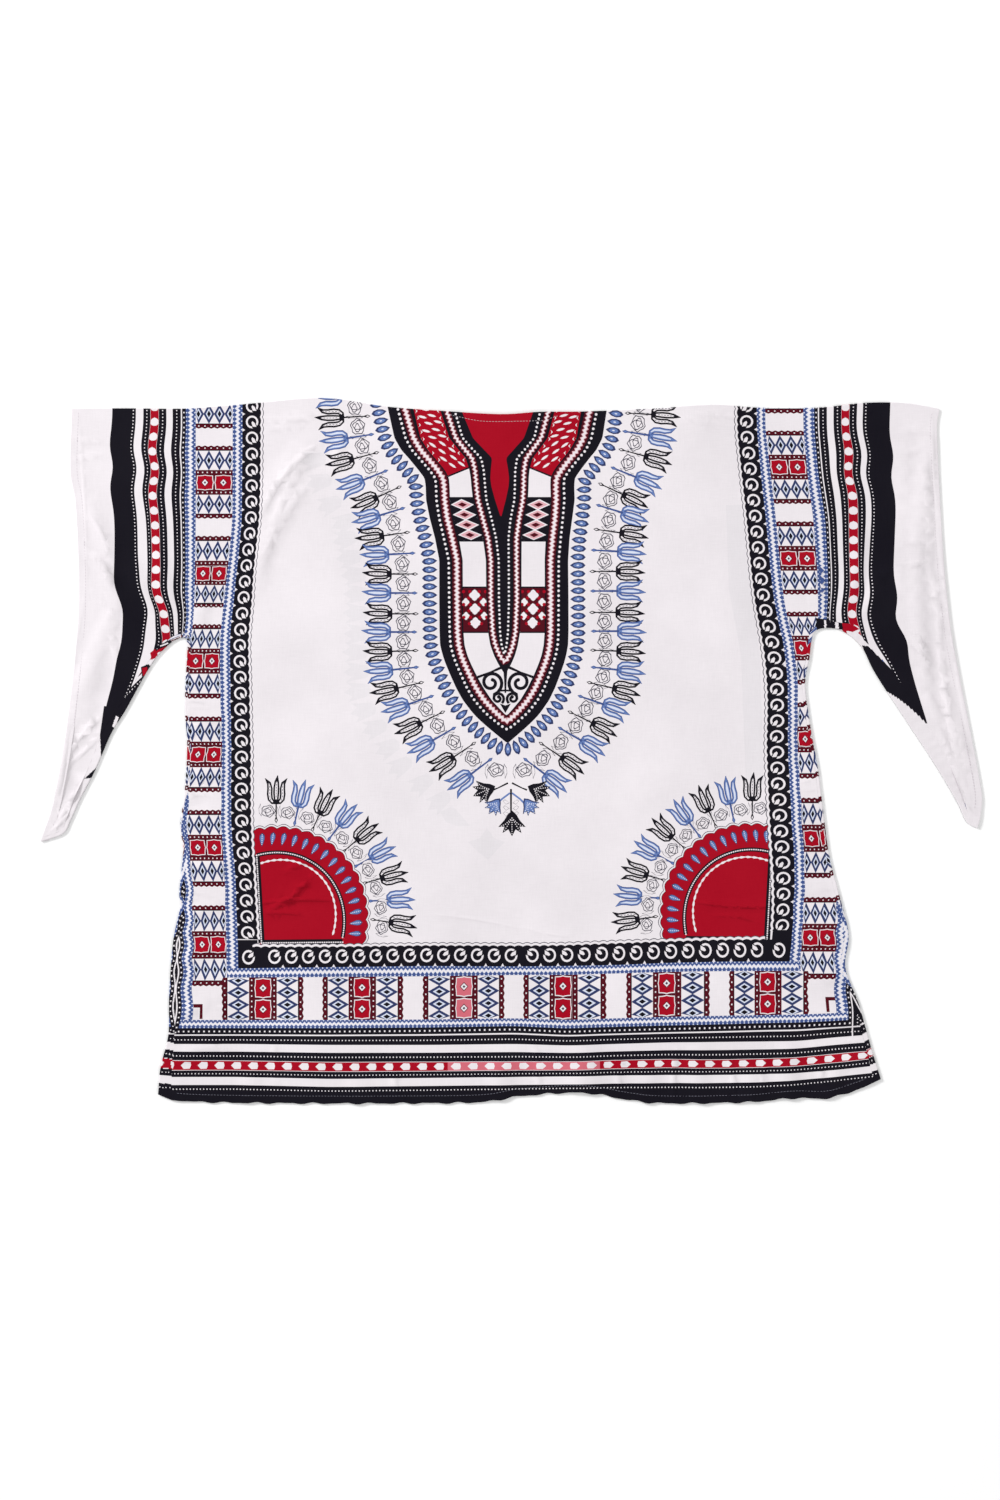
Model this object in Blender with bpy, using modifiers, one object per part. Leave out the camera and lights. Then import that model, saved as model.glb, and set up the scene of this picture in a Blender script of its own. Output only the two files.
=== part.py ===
"""A dashiki shirt laid flat with its front up: two panels, each cut in one with its sleeves.

Metres, +Z up. +X runs across the shirt, from the sleeve at the picture's left to the one at its right,
and +Y runs from the hem to the neck. The origin is on the ground under the middle of the shirt.

Each panel is a wall of cloth thickened from its middle surface. The back panel lies flat on the ground.
Along the sides and under the sleeves it turns up and comes over onto the front, where the seams lie.
The front panel lies on top between those seams, with its folds. Neck, cuffs and hem are left open.
"""

import bpy
import numpy as np

# Sizes in millimetres
MM = 0.001
WALL = 1.2
SEAM_GAP = 0.3
BACK_MIDDLE = WALL / 2
FRONT_MIDDLE = BACK_MIDDLE + WALL + SEAM_GAP
SEAM_MIDDLE = 3.0
ROLL_RADIUS = (SEAM_MIDDLE - BACK_MIDDLE) / 2
ROLL_REACH = ROLL_RADIUS + WALL / 2
SEAM_LIFT_REACH = 20.0
NECK_LIFT = 2.4
NECK_LIFT_REACH = 26.0
FOLD_CLEAR_OF_SEAM = 11.0

# How finely the cloth is divided
ARMHOLE_ROWS = 18
SIDE_ROWS = 36
SLEEVE_COLUMNS = 18
FRONT_COLUMNS = 44
BACK_COLUMNS = 12
ROLL_STEPS = 4
ROLL_STRIP_STEPS = 1
EDGE_CROWDING = 0.55
CURVE_STEPS = 12

# The shoulder edge with the dip of the neck in its middle. Columns: across, up
SHOULDER = [
    (-556, 437.5),
    (-489, 438),
    (-417, 437.5),
    (-362, 441),
    (-318, 445),
    (-235, 451),
    (-155, 440),
    (-89, 435),
    (-13, 430.5),
    (38, 433.5),
    (91, 434),
    (179, 437.5),
    (257, 442.5),
    (315, 439),
    (391, 439),
    (451, 445),
    (502, 444.5),
    (545, 437.5),
]
NECK_ENDS = (-112, 98)
ARMHOLE_TOPS = (-406, 384)

# The cuffs from the shoulder to the last point before the tip. Columns: across, up
LEFT_CUFF = [
    (-556, 437.5),
    (-558, 360),
    (-551, 314),
    (-547, 205),
    (-552, 121),
    (-564, 20),
    (-575, -42),
    (-582, -73),
]
RIGHT_CUFF = [
    (545, 437.5),
    (542, 403),
    (549, 267),
    (555, 195),
    (563, 136),
    (583, 35),
    (598, -46),
    (598, -72),
]

# The hem between its two corners. Columns: across, up
HEM = [
    (-385, -442.5),
    (-268, -444),
    (-140, -444),
    (-38, -442.5),
    (13, -435),
    (91, -430.5),
    (152, -440),
    (199, -444),
    (302, -442.5),
    (359, -437.5),
    (403, -437.5),
    (443, -426),
]

# From the sleeve's tip along its lower edge to the underarm and down the side to the hem.
# Columns: outer edge across, outer edge up, seam across, seam up
LEFT_SEAM = [
    (-596, -112, -594, -106.5),
    (-568, -102, -571, -97.5),
    (-558, -84.5, -563, -82),
    (-546, -58, -552.5, -55),
    (-527, -21, -535, -17),
    (-507, 25, -516, 30),
    (-488, 56, -496, 61),
    (-457, 111, -461.5, 114),
    (-434, 138, -437.5, 142),
    (-417, 147, -417, 152.5),
    (-410, 140, -405, 143),
    (-412, 93, -408, 93.5),
    (-413, 53, -408.5, 53),
    (-410, 12, -405.5, 12),
    (-413, -46, -408.5, -46),
    (-419, -93, -414, -93),
    (-415, -121, -410, -121),
    (-420, -175, -415, -175),
    (-419, -195, -413.5, -194),
    (-428, -239, -421, -238),
    (-433, -307, -425, -306),
    (-434, -357, -426, -357),
    (-444, -399, -429, -399),
    (-447, -433, -430.5, -440),
]
LEFT_UNDERARM_ROW = 10
RIGHT_SEAM = [
    (593, -95, 595, -89.5),
    (580, -87, 584.5, -83),
    (568, -62, 576, -58),
    (541, -16, 555, -8),
    (499, 48, 517, 59),
    (464, 102, 479, 112),
    (447, 135, 454, 140),
    (425, 154, 427.5, 159),
    (405, 159.5, 404.5, 164.5),
    (386, 153, 382.5, 156.5),
    (380, 119, 375.5, 119),
    (375, 87, 370.5, 87),
    (382, 32, 377.5, 32),
    (392, -25, 387.5, -24),
    (404, -121, 399, -120),
    (417, -175, 411.5, -174),
    (430, -229, 424, -229),
    (426, -272, 420.5, -272),
    (443, -318, 436.5, -316),
    (458, -371, 450.5, -369),
    (471, -413.5, 462.5, -417.5),
]
RIGHT_UNDERARM_ROW = 9

# Soft folds of the front. Columns: start across, start up, end across, end up, bow, half width, height
FOLDS = [
    (-250, 396, -320, 292, -8, 24, 3.0),
    (-318, 300, -326, 205, 6, 20, 2.4),
    (-262, 342, -318, 240, -6, 20, 2.0),
    (-538, 325, -503, 222, 5, 17, 2.8),
    (-536, 262, -500, 185, 5, 15, 2.6),
    (-524, 150, -574, -64, -8, 16, 3.4),
    (-492, 205, -545, 0, -10, 16, 2.8),
    (-424, 158, -446, 282, 4, 16, 3.2),
    (-436, 150, -482, 250, 6, 15, 2.8),
    (-398, 150, -386, 240, -4, 15, 2.2),
    (-560, 30, -590, -96, 4, 12, 2.6),
    (532, 392, 522, 140, -9, 18, 4.4),
    (520, 160, 584, -80, -12, 15, 4.0),
    (500, 150, 536, 104, 4, 14, 3.2),
    (424, 168, 446, 290, -4, 16, 3.2),
    (436, 164, 478, 250, -6, 15, 2.8),
    (398, 172, 386, 262, 4, 15, 2.4),
    (500, 402, 494, 190, 5, 17, 2.2),
    (548, 90, 588, -60, 5, 11, 2.8),
    (-330, -452, -322, -388, 4, 22, 1.8),
    (-186, -452, -194, -398, 4, 24, 1.6),
    (-12, -452, -2, -380, 5, 26, 2.8),
    (92, -446, 86, -352, -6, 34, 4.2),
    (176, -452, 180, -392, 4, 22, 2.2),
    (246, -452, 240, -372, 5, 24, 3.0),
    (306, -452, 314, -396, 4, 20, 2.6),
    (360, -450, 352, -366, 4, 24, 3.4),
    (410, -446, 418, -392, 4, 18, 2.6),
]

# Puckers that run in from the side seams. Columns: up, length, half width, height
LEFT_PUCKERS = [
    (98, 40, 15, 2.0),
    (34, 46, 15, 1.6),
    (-32, 38, 14, 2.2),
    (-84, 50, 15, 2.4),
    (-150, 60, 16, 2.6),
    (-206, 52, 15, 2.8),
    (-262, 60, 17, 2.4),
    (-330, 48, 15, 2.8),
    (-384, 60, 16, 3.0),
]
RIGHT_PUCKERS = [
    (104, 36, 14, 1.8),
    (42, 40, 15, 1.8),
    (-44, 46, 15, 1.8),
    (-112, 52, 16, 2.2),
    (-176, 66, 17, 3.0),
    (-236, 58, 15, 3.2),
    (-290, 50, 15, 2.6),
    (-344, 66, 17, 3.2),
    (-396, 56, 15, 3.0),
]
PUCKER_TILT = 0.2

SHOWN = {
    "front_panel": {"colour": (0.88, 0.86, 0.88), "roughness": 0.8},
    "back_panel": {"colour": (0.80, 0.78, 0.81), "roughness": 0.85},
}


def smooth_curve(points):
    """Points close together on a curve that passes smoothly through the given ones."""
    p = np.array(points, float)
    p = np.vstack([2 * p[0] - p[1], p, 2 * p[-1] - p[-2]])
    t = (np.arange(CURVE_STEPS) / CURVE_STEPS)[:, None]
    runs = []
    for before, start, end, after in zip(p, p[1:], p[2:], p[3:]):
        slope = (end - before) * t
        bend = (2 * before - 5 * start + 4 * end - after) * t**2
        twist = (3 * start - before - 3 * end + after) * t**3
        runs.append((2 * start + slope + bend + twist) / 2)
    return np.vstack([*runs, p[-2:-1]])


def at_shares(curve, shares):
    """The curve at these shares of its length, measured on its first two columns."""
    steps = np.linalg.norm(np.diff(curve[:, :2], axis=0), axis=1)
    length = np.concatenate([[0], np.cumsum(steps)])
    wanted = np.asarray(shares) * length[-1]
    columns = [np.interp(wanted, length, column) for column in curve.T]
    return np.stack(columns, axis=1)


def evenly(count):
    return np.linspace(0, 1, count + 1)


def crowded_to_edges(count):
    """Shares from 0 to 1 that lie closer together towards both ends."""
    even = evenly(count)
    bunched = (1 - np.cos(np.pi * even)) / 2
    return even + EDGE_CROWDING * (bunched - even)


def seam_stations(rows, underarm_row):
    """The seam's rows from the sleeve's tip to the underarm, and from there to the hem."""
    curve = smooth_curve(rows)
    split = underarm_row * CURVE_STEPS
    sleeve = at_shares(curve[: split + 1], evenly(SLEEVE_COLUMNS))
    side = at_shares(curve[split:], evenly(SIDE_ROWS))
    return sleeve, side


def patch(top, bottom, left, right, across, down):
    """A surface between four edge curves, whose points lie at the shares across and down."""
    u = np.asarray(across)[None, :, None]
    v = np.asarray(down)[:, None, None]
    between_ends = (1 - v) * top[None] + v * bottom[None]
    between_sides = (1 - u) * left[:, None] + u * right[:, None]
    corners_top = (1 - u) * top[0] + u * top[-1]
    corners_bottom = (1 - u) * bottom[0] + u * bottom[-1]
    return between_ends + between_sides - (1 - v) * corners_top - v * corners_bottom


def panel_patches(left_edges, right_edges, columns):
    """A panel as three patches: body, left sleeve and right sleeve.

    left_edges and right_edges hold two lines each: the sleeve's lower edge from its tip to the underarm,
    and the side from the underarm to the hem."""
    shoulder = smooth_curve(SHOULDER)
    (left_under, left_side), (right_under, right_side) = left_edges, right_edges

    def shoulder_between(start, end, shares):
        across = start + (end - start) * np.asarray(shares)
        up = np.interp(across, shoulder[:, 0], shoulder[:, 1])
        return np.stack([across, up], axis=1)

    body_shares = crowded_to_edges(columns)
    body_top = shoulder_between(*ARMHOLE_TOPS, body_shares)
    left_arm = body_top[0] + (left_side[0] - body_top[0]) * evenly(ARMHOLE_ROWS)[:, None]
    right_arm = body_top[-1] + (right_side[0] - body_top[-1]) * evenly(ARMHOLE_ROWS)[:, None]
    left = np.vstack([left_arm, left_side[1:]])
    right = np.vstack([right_arm, right_side[1:]])
    hem_curve = smooth_curve([left[-1], *HEM, right[-1]])
    hem_across = left[-1, 0] + (right[-1, 0] - left[-1, 0]) * body_shares
    hem = np.stack([hem_across, np.interp(hem_across, hem_curve[:, 0], hem_curve[:, 1])], axis=1)
    down = evenly(ARMHOLE_ROWS + SIDE_ROWS)
    body = patch(body_top, hem, left, right, body_shares, down)

    sleeves = []
    for cuff_points, arm, under in ((LEFT_CUFF, left_arm, left_under), (RIGHT_CUFF, right_arm, right_under)):
        lower = under[::-1]
        cuff = at_shares(smooth_curve([*cuff_points, lower[-1]]), evenly(ARMHOLE_ROWS))
        top = shoulder_between(arm[0, 0], cuff_points[0][0], evenly(SLEEVE_COLUMNS))
        sleeves.append(patch(top, lower, arm, cuff, evenly(SLEEVE_COLUMNS), evenly(ARMHOLE_ROWS)))
    return [body, *sleeves]


def distance_to_line(points, line):
    """How far each point is from a line of straight stretches, seen from above."""
    flat = points.reshape(-1, 2)
    nearest = np.full(len(flat), np.inf)
    for start, end in zip(line, line[1:]):
        run = end - start
        share = np.clip((flat - start) @ run / (run @ run), 0, 1)
        away = np.linalg.norm(flat - start - share[:, None] * run, axis=1)
        nearest = np.minimum(nearest, away)
    return nearest.reshape(points.shape[:-1])


def fold_height(points, start_across, start_up, end_across, end_up, bow, half_width, height):
    """A soft ridge along a slightly bowed line, which fades out at both ends."""
    start = np.array([start_across, start_up])
    run = np.array([end_across, end_up]) - start
    length = np.hypot(*run)
    run = run / length
    offset = points - start
    share = np.clip((offset @ run) / length, 0, 1)
    beside = offset @ np.array([-run[1], run[0]]) - 4 * bow * share * (1 - share)
    past_end = offset @ run - share * length
    across_share = np.clip(np.hypot(beside, past_end) / half_width, 0, 1)
    lengthways = np.sin(np.pi * np.clip(share, 0.02, 0.98)) ** 0.5
    return height * lengthways * np.cos(np.pi / 2 * across_share) ** 2


def pucker_rows(left_side, right_side):
    """The side puckers as rows like those of FOLDS."""
    rows = []
    for side, table, inward in ((left_side, LEFT_PUCKERS, 1), (right_side, RIGHT_PUCKERS, -1)):
        for up, length, half_width, height in table:
            edge = np.interp(-up, -side[:, 1], side[:, 0])
            end = edge + inward * length
            rows.append((edge, up, end, up + PUCKER_TILT * length, 2, half_width, height))
    return rows


def front_heights(points, seams, folds):
    """The height of the front panel's middle surface at each point."""
    to_seam = np.minimum(*[distance_to_line(points, seam) for seam in seams])
    shoulder = smooth_curve(SHOULDER)
    below_shoulder = np.interp(points[..., 0], shoulder[:, 0], shoulder[:, 1]) - points[..., 1]
    raised = sum(fold_height(points, *row) for row in folds)
    clear = 1 - np.exp(-((np.minimum(to_seam, below_shoulder) / FOLD_CLEAR_OF_SEAM) ** 2))
    neck_middle = sum(NECK_ENDS) / 2
    neck_half = (NECK_ENDS[1] - NECK_ENDS[0]) / 2
    in_neck = np.clip(1 - ((points[..., 0] - neck_middle) / neck_half) ** 2, 0, 1)
    neck = NECK_LIFT * in_neck * np.exp(-((below_shoulder / NECK_LIFT_REACH) ** 2))
    at_seam = (SEAM_MIDDLE - FRONT_MIDDLE) * np.exp(-((to_seam / SEAM_LIFT_REACH) ** 2))
    at_shoulder = 1 - np.exp(-((np.clip(below_shoulder, 0, None) / FOLD_CLEAR_OF_SEAM) ** 2))
    return FRONT_MIDDLE + at_seam * at_shoulder + raised * clear + neck


def rolled_edge(edge, seam):
    """Rows of the back panel from its flat part round the turned edge to the seam, with their heights."""
    run = seam - edge
    width = np.linalg.norm(run, axis=1, keepdims=True)
    inward = run / width
    centre = edge + inward * ROLL_REACH
    rows = []
    for angle in np.linspace(0, np.pi, ROLL_STEPS + 1):
        place = centre - inward * (ROLL_RADIUS * np.sin(angle))
        height = BACK_MIDDLE + ROLL_RADIUS * (1 - np.cos(angle))
        rows.append(np.column_stack([place, np.full(len(place), height)]))
    for share in evenly(ROLL_STRIP_STEPS)[1:]:
        place = centre + inward * ((width - ROLL_REACH - SEAM_GAP) * share)
        rows.append(np.column_stack([place, np.full(len(place), SEAM_MIDDLE)]))
    return np.array(rows)


def with_height(points, heights):
    return np.concatenate([points, np.broadcast_to(heights, points.shape[:-1])[..., None]], axis=-1)


def cloth_object(name, grids, collection):
    """One wall of cloth from several grids of middle points that share their edges."""
    numbers = {}
    points = []
    faces = []

    def number(point):
        key = tuple(np.round(point, 4))
        if key not in numbers:
            numbers[key] = len(points)
            points.append(tuple(np.array(point) * MM))
        return numbers[key]

    for grid, facing in grids:
        index = [[number(point) for point in row] for row in grid]
        for upper, lower in zip(index, index[1:]):
            for corner in range(len(upper) - 1):
                face = [upper[corner], lower[corner], lower[corner + 1], upper[corner + 1]]
                faces.append(face if facing > 0 else face[::-1])
    mesh = bpy.data.meshes.new(name)
    mesh.from_pydata(points, [], faces)
    mesh.validate()
    mesh.shade_smooth()
    cloth = bpy.data.objects.new(name, mesh)
    collection.objects.link(cloth)
    solid = cloth.modifiers.new("wall", "SOLIDIFY")
    solid.thickness = WALL * MM
    solid.offset = 0
    mesh.materials.append(cloth_material(name, **SHOWN[name]))
    return cloth


def cloth_material(name, colour, roughness):
    material = bpy.data.materials.new(name)
    material.use_nodes = True
    shader = material.node_tree.nodes["Principled BSDF"]
    shader.inputs["Base Color"].default_value = (*colour, 1)
    shader.inputs["Roughness"].default_value = roughness
    shader.inputs["Metallic"].default_value = 0
    return material


def build_front(seam_sets, collection):
    """The front panel, which ends in the seams. The back panel leaves the seam gap."""
    left_edges, right_edges = [[line[:, 2:] for line in lines] for lines in seam_sets]
    seams = [np.vstack([under, side[1:]]) for under, side in (left_edges, right_edges)]
    folds = FOLDS + pucker_rows(left_edges[1], right_edges[1])
    body, left_sleeve, right_sleeve = panel_patches(left_edges, right_edges, FRONT_COLUMNS)
    grids = []
    for grid, facing in ((body, 1), (left_sleeve, -1), (right_sleeve, 1)):
        grids.append((with_height(grid, front_heights(grid, seams, folds)), facing))
    return cloth_object("front_panel", grids, collection)


def build_back(seam_sets, collection):
    """The back panel: flat on the ground, then round its edges to the seams."""
    grids = []
    flat_edges = []
    for lines, way in zip(seam_sets, (1, -1)):
        rolls = [rolled_edge(line[:, :2], line[:, 2:]) for line in lines]
        flat_edges.append([roll[0, :, :2] for roll in rolls])
        grids += [(roll, way) for roll in rolls]
    body, left_sleeve, right_sleeve = panel_patches(*flat_edges, BACK_COLUMNS)
    for grid, facing in ((body, 1), (left_sleeve, -1), (right_sleeve, 1)):
        grids.append((with_height(grid, BACK_MIDDLE), facing))
    return cloth_object("back_panel", grids, collection)


def set_on_ground(panels):
    """Moves the shirt so that its middle is over the origin and its lowest point at height zero."""
    bpy.context.view_layer.update()
    depsgraph = bpy.context.evaluated_depsgraph_get()
    corners = np.array([corner[:] for panel in panels for corner in panel.evaluated_get(depsgraph).bound_box])
    low, high = corners.min(axis=0), corners.max(axis=0)
    for panel in panels:
        panel.location = (-(low[0] + high[0]) / 2, -(low[1] + high[1]) / 2, -low[2])


def main():
    for thing in list(bpy.data.objects):
        bpy.data.objects.remove(thing)
    collection = bpy.data.collections.new("dashiki_shirt")
    bpy.context.scene.collection.children.link(collection)
    seam_sets = [
        seam_stations(LEFT_SEAM, LEFT_UNDERARM_ROW),
        seam_stations(RIGHT_SEAM, RIGHT_UNDERARM_ROW),
    ]
    set_on_ground([build_front(seam_sets, collection), build_back(seam_sets, collection)])


main()
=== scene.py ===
"""Looks of a dashiki shirt laid flat: its cloth with its print, folds, turned edges and stitches.

The two panels are thin cloths on the form of the solids. The print is cut into their meshes as shapes of
their own colours. Print shapes are in print units of 1.27 mm, across and down. The cloth's form is in
millimetres, across and up, and both have one common zero.
"""
import math

import bpy
import numpy as np
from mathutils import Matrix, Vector
from mathutils.geometry import delaunay_2d_cdt, tessellate_polygon


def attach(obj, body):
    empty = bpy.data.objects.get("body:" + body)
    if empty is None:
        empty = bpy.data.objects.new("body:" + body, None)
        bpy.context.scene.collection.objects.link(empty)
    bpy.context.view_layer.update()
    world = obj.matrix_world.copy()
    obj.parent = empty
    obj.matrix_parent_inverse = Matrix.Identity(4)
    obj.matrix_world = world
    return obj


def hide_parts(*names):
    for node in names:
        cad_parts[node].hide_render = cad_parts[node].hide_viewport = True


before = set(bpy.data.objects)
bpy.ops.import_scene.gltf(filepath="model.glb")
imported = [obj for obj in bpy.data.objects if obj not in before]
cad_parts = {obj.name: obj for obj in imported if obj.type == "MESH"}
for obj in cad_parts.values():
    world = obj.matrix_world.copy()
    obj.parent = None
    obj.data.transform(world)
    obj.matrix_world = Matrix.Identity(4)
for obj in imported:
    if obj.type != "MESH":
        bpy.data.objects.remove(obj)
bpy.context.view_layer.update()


TAU = 2 * math.pi

# Where the border's bands begin and end, counted outwards from the inner edge of the ring band
RING_BAND = (0.0, 18.5)
INNER_ZIGZAG = (18.5, 28.0)
LADDER = (28.0, 65.0)
OUTER_ZIGZAG = (65.0, 75.5)
DOT_BAND = (75.5, 79.3)
PIPING = (79.3, 80.6)
FIRST_STRIPE = (80.6, 89.0)
SECOND_STRIPE = (95.5, 103.0)
CHAIN = (103.0, 111.5)
THIRD_STRIPE = (111.5, 118.7)
BROAD_BAND = (125.5, 149.5)

# Guide lines of the border. Columns: place along, then places across of GUIDES
GUIDES = (0.0, 18.5, 28.0, 65.0, 75.5, 89.0, 103.0, 111.5, 118.7, 125.5, 149.5)
LEFT_BORDER = [
    (380, 260.5, 242.4, 232.7, 195.7, 185.4, 171.7, 157.5, 149.0, 142.0, 134.5, 111.0),
    (430, 260.5, 242.4, 232.7, 195.7, 185.4, 171.7, 157.5, 149.0, 142.0, 134.5, 111.0),
    (490, 260.0, 242.0, 232.5, 195.7, 185.0, 172.3, 158.0, 149.5, 143.5, 135.5, 111.5),
    (520, 259.0, 241.8, 232.3, 195.7, 185.0, 172.7, 158.5, 149.5, 145.0, 136.0, 113.0),
    (557, 255.0, 238.5, 229.0, 195.2, 185.0, 173.0, 159.0, 150.5, 146.0, 136.5, 113.5),
    (577, 253.0, 236.0, 226.5, 195.0, 185.2, 173.3, 160.5, 151.0, 147.5, 140.0, 114.5),
    (600, 251.7, 234.0, 224.0, 194.5, 185.7, 175.0, 163.5, 154.5, 151.0, 145.5, 119.0),
    (623, 249.5, 231.0, 221.5, 193.0, 186.0, 178.0, 169.5, 160.5, 156.0, 147.5, 124.0),
    (640, 248.0, 230.0, 220.0, 191.0, 184.0, 178.5, 172.0, 164.0, 157.0, 145.0, 122.0),
    (657, 248.3, 230.0, 220.0, 187.6, 180.0, 176.0, 166.0, 158.0, 151.0, 141.5, 117.0),
    (680, 249.0, 230.3, 220.0, 187.0, 178.5, 172.0, 158.0, 150.0, 144.0, 134.0, 113.0),
    (710, 249.5, 230.7, 221.0, 187.4, 178.5, 168.0, 150.0, 142.0, 134.0, 122.0, 105.0),
    (750, 250.5, 231.3, 222.0, 190.5, 181.0, 167.0, 140.0, 132.0, 120.0, 103.0, 101.0),
    (810, 250.5, 231.0, 221.0, 187.5, 178.0, 164.0, 149.0, 140.0, 132.0, 125.0, 100.0),
    (850, 251.7, 232.5, 222.3, 188.0, 178.5, 164.0, 149.0, 140.0, 132.0, 125.0, 100.0),
    (870, 253.3, 235.3, 224.5, 192.3, 184.5, 170.0, 155.0, 146.0, 138.0, 131.0, 106.0),
    (905, 255.5, 236.3, 225.3, 193.0, 185.0, 171.0, 156.0, 147.0, 139.0, 132.0, 107.0),
    (950, 258.0, 238.0, 226.5, 193.0, 183.0, 169.5, 154.5, 146.0, 138.0, 131.0, 107.0),
    (1000, 258.5, 238.5, 227.0, 192.7, 181.3, 167.0, 152.0, 143.0, 136.0, 129.0, 105.0),
    (1040, 259.0, 239.0, 228.0, 191.0, 178.5, 163.0, 148.0, 139.0, 132.0, 125.0, 101.0),
]
RIGHT_BORDER = [
    (380, 737.5, 756.5, 765.0, 803.0, 814.0, 827.0, 842.0, 850.5, 858.0, 863.5, 890.0),
    (430, 737.5, 757.0, 765.5, 803.5, 814.5, 827.0, 842.0, 850.5, 858.0, 864.0, 891.0),
    (475, 742.0, 761.0, 771.0, 807.5, 818.5, 831.0, 845.0, 854.0, 862.0, 867.5, 892.7),
    (520, 747.0, 766.0, 776.0, 813.5, 825.5, 837.0, 849.0, 858.5, 866.0, 871.5, 895.0),
    (570, 751.5, 770.5, 780.7, 817.0, 828.0, 839.5, 850.7, 860.0, 865.0, 870.0, 895.0),
    (600, 755.0, 774.0, 784.0, 818.0, 828.0, 837.0, 847.5, 856.7, 862.5, 868.0, 896.0),
    (625, 759.5, 779.0, 789.0, 818.0, 826.0, 836.0, 849.0, 858.5, 863.0, 868.5, 897.5),
    (640, 762.5, 783.0, 793.0, 821.0, 829.0, 839.0, 853.0, 861.5, 866.0, 872.5, 907.0),
    (660, 765.5, 785.5, 795.5, 826.0, 835.0, 846.0, 861.0, 869.0, 876.0, 886.5, 909.0),
    (680, 767.0, 787.5, 797.5, 828.0, 838.0, 850.0, 868.0, 876.0, 886.0, 897.0, 914.0),
    (700, 768.0, 788.0, 798.0, 829.0, 839.0, 852.0, 868.0, 880.0, 895.0, 910.0, 920.0),
    (727, 767.5, 788.0, 797.5, 829.0, 839.0, 852.0, 868.0, 880.0, 900.0, 925.0, 928.5),
    (750, 767.0, 788.0, 797.5, 829.0, 839.0, 852.0, 868.0, 880.0, 900.0, 925.0, 932.0),
    (810, 769.5, 791.0, 801.5, 833.0, 843.0, 856.0, 872.0, 880.0, 887.0, 894.0, 918.0),
    (850, 772.0, 793.5, 803.5, 836.0, 846.0, 859.0, 875.0, 883.0, 890.0, 897.0, 921.0),
    (870, 773.5, 795.0, 805.0, 837.5, 847.5, 860.0, 876.0, 884.0, 891.0, 898.0, 922.0),
    (905, 774.5, 793.5, 804.0, 837.0, 848.0, 861.0, 877.0, 885.0, 892.0, 899.0, 923.0),
    (930, 773.0, 792.7, 802.0, 836.7, 848.0, 861.0, 877.0, 885.0, 892.0, 899.0, 923.0),
    (955, 770.0, 790.0, 801.0, 835.0, 846.5, 860.0, 876.0, 884.0, 891.0, 898.0, 922.0),
    (1000, 769.0, 789.0, 799.5, 835.0, 846.7, 860.0, 876.0, 884.0, 891.0, 898.0, 922.0),
    (1040, 769.0, 789.0, 799.5, 836.0, 849.0, 863.0, 879.0, 887.0, 894.0, 901.0, 925.0),
]
BOTTOM_BORDER = [
    (140, 947.0, 968.3, 977.6, 1020.0, 1030.7, 1044.0, 1060.0, 1070.5, 1077.0, 1085.0, 1110.0),
    (240, 947.0, 968.3, 977.6, 1020.0, 1030.7, 1044.0, 1060.5, 1070.5, 1077.0, 1085.0, 1110.0),
    (330, 947.0, 967.2, 977.0, 1020.0, 1030.8, 1045.0, 1062.0, 1072.0, 1079.0, 1087.0, 1112.0),
    (430, 945.7, 966.0, 976.3, 1019.5, 1030.0, 1045.0, 1061.7, 1071.5, 1078.0, 1086.0, 1111.0),
    (515, 946.0, 966.5, 975.0, 1018.3, 1028.5, 1044.0, 1061.3, 1070.5, 1077.0, 1085.0, 1109.0),
    (565, 945.5, 966.0, 975.0, 1020.0, 1031.0, 1045.5, 1061.5, 1070.5, 1076.5, 1084.5, 1108.0),
    (617, 943.5, 965.0, 973.5, 1018.3, 1029.5, 1044.0, 1060.0, 1069.0, 1075.5, 1083.5, 1108.0),
    (667, 941.7, 962.9, 972.0, 1016.9, 1028.2, 1042.5, 1059.0, 1068.0, 1075.0, 1083.0, 1109.0),
    (720, 940.0, 961.7, 971.2, 1015.8, 1027.0, 1042.0, 1059.5, 1068.5, 1075.0, 1083.0, 1110.0),
    (768, 939.5, 961.5, 971.0, 1015.0, 1025.5, 1041.5, 1058.3, 1067.5, 1074.0, 1082.0, 1108.0),
    (800, 939.5, 961.5, 971.0, 1014.5, 1025.0, 1041.0, 1057.0, 1066.3, 1073.0, 1080.0, 1106.0),
    (835, 939.5, 961.5, 971.0, 1013.0, 1023.0, 1037.5, 1053.5, 1062.7, 1070.0, 1077.0, 1100.0),
    (890, 939.5, 961.5, 971.0, 1010.0, 1020.0, 1033.0, 1049.0, 1057.0, 1064.0, 1071.0, 1092.0),
]
BORDERS = {"left": LEFT_BORDER, "right": RIGHT_BORDER, "bottom": BOTTOM_BORDER}

# Middles of the ladder's white and red fields by turns, which give the print's repeat along each border
LEFT_FIELDS = (347, 392, 437, 482.5, 527, 573.5, 615.5, 661, 707.5, 754.5, 801, 847.5, 896, 944.5, 996)
RIGHT_FIELDS = (331, 377, 422, 467, 512.5, 558.5, 603, 648, 693.5, 739, 788, 838.5, 887.5, 937.5, 989)
BOTTOM_FIELDS = (212, 263, 313, 362, 413, 464, 514, 563, 616.7, 666.7, 720, 767.7, 818)
FIELDS = {"left": LEFT_FIELDS, "right": RIGHT_FIELDS, "bottom": BOTTOM_FIELDS}

# The neck's middle line. Columns: down, across
MIDDLE = [
    (380, 496.7), (409, 497.5), (458, 499.1), (500, 500.4), (518, 501), (560, 503.7), (645, 504.1),
    (700, 506), (743, 507.5), (830, 510), (1000, 512),
]
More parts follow.
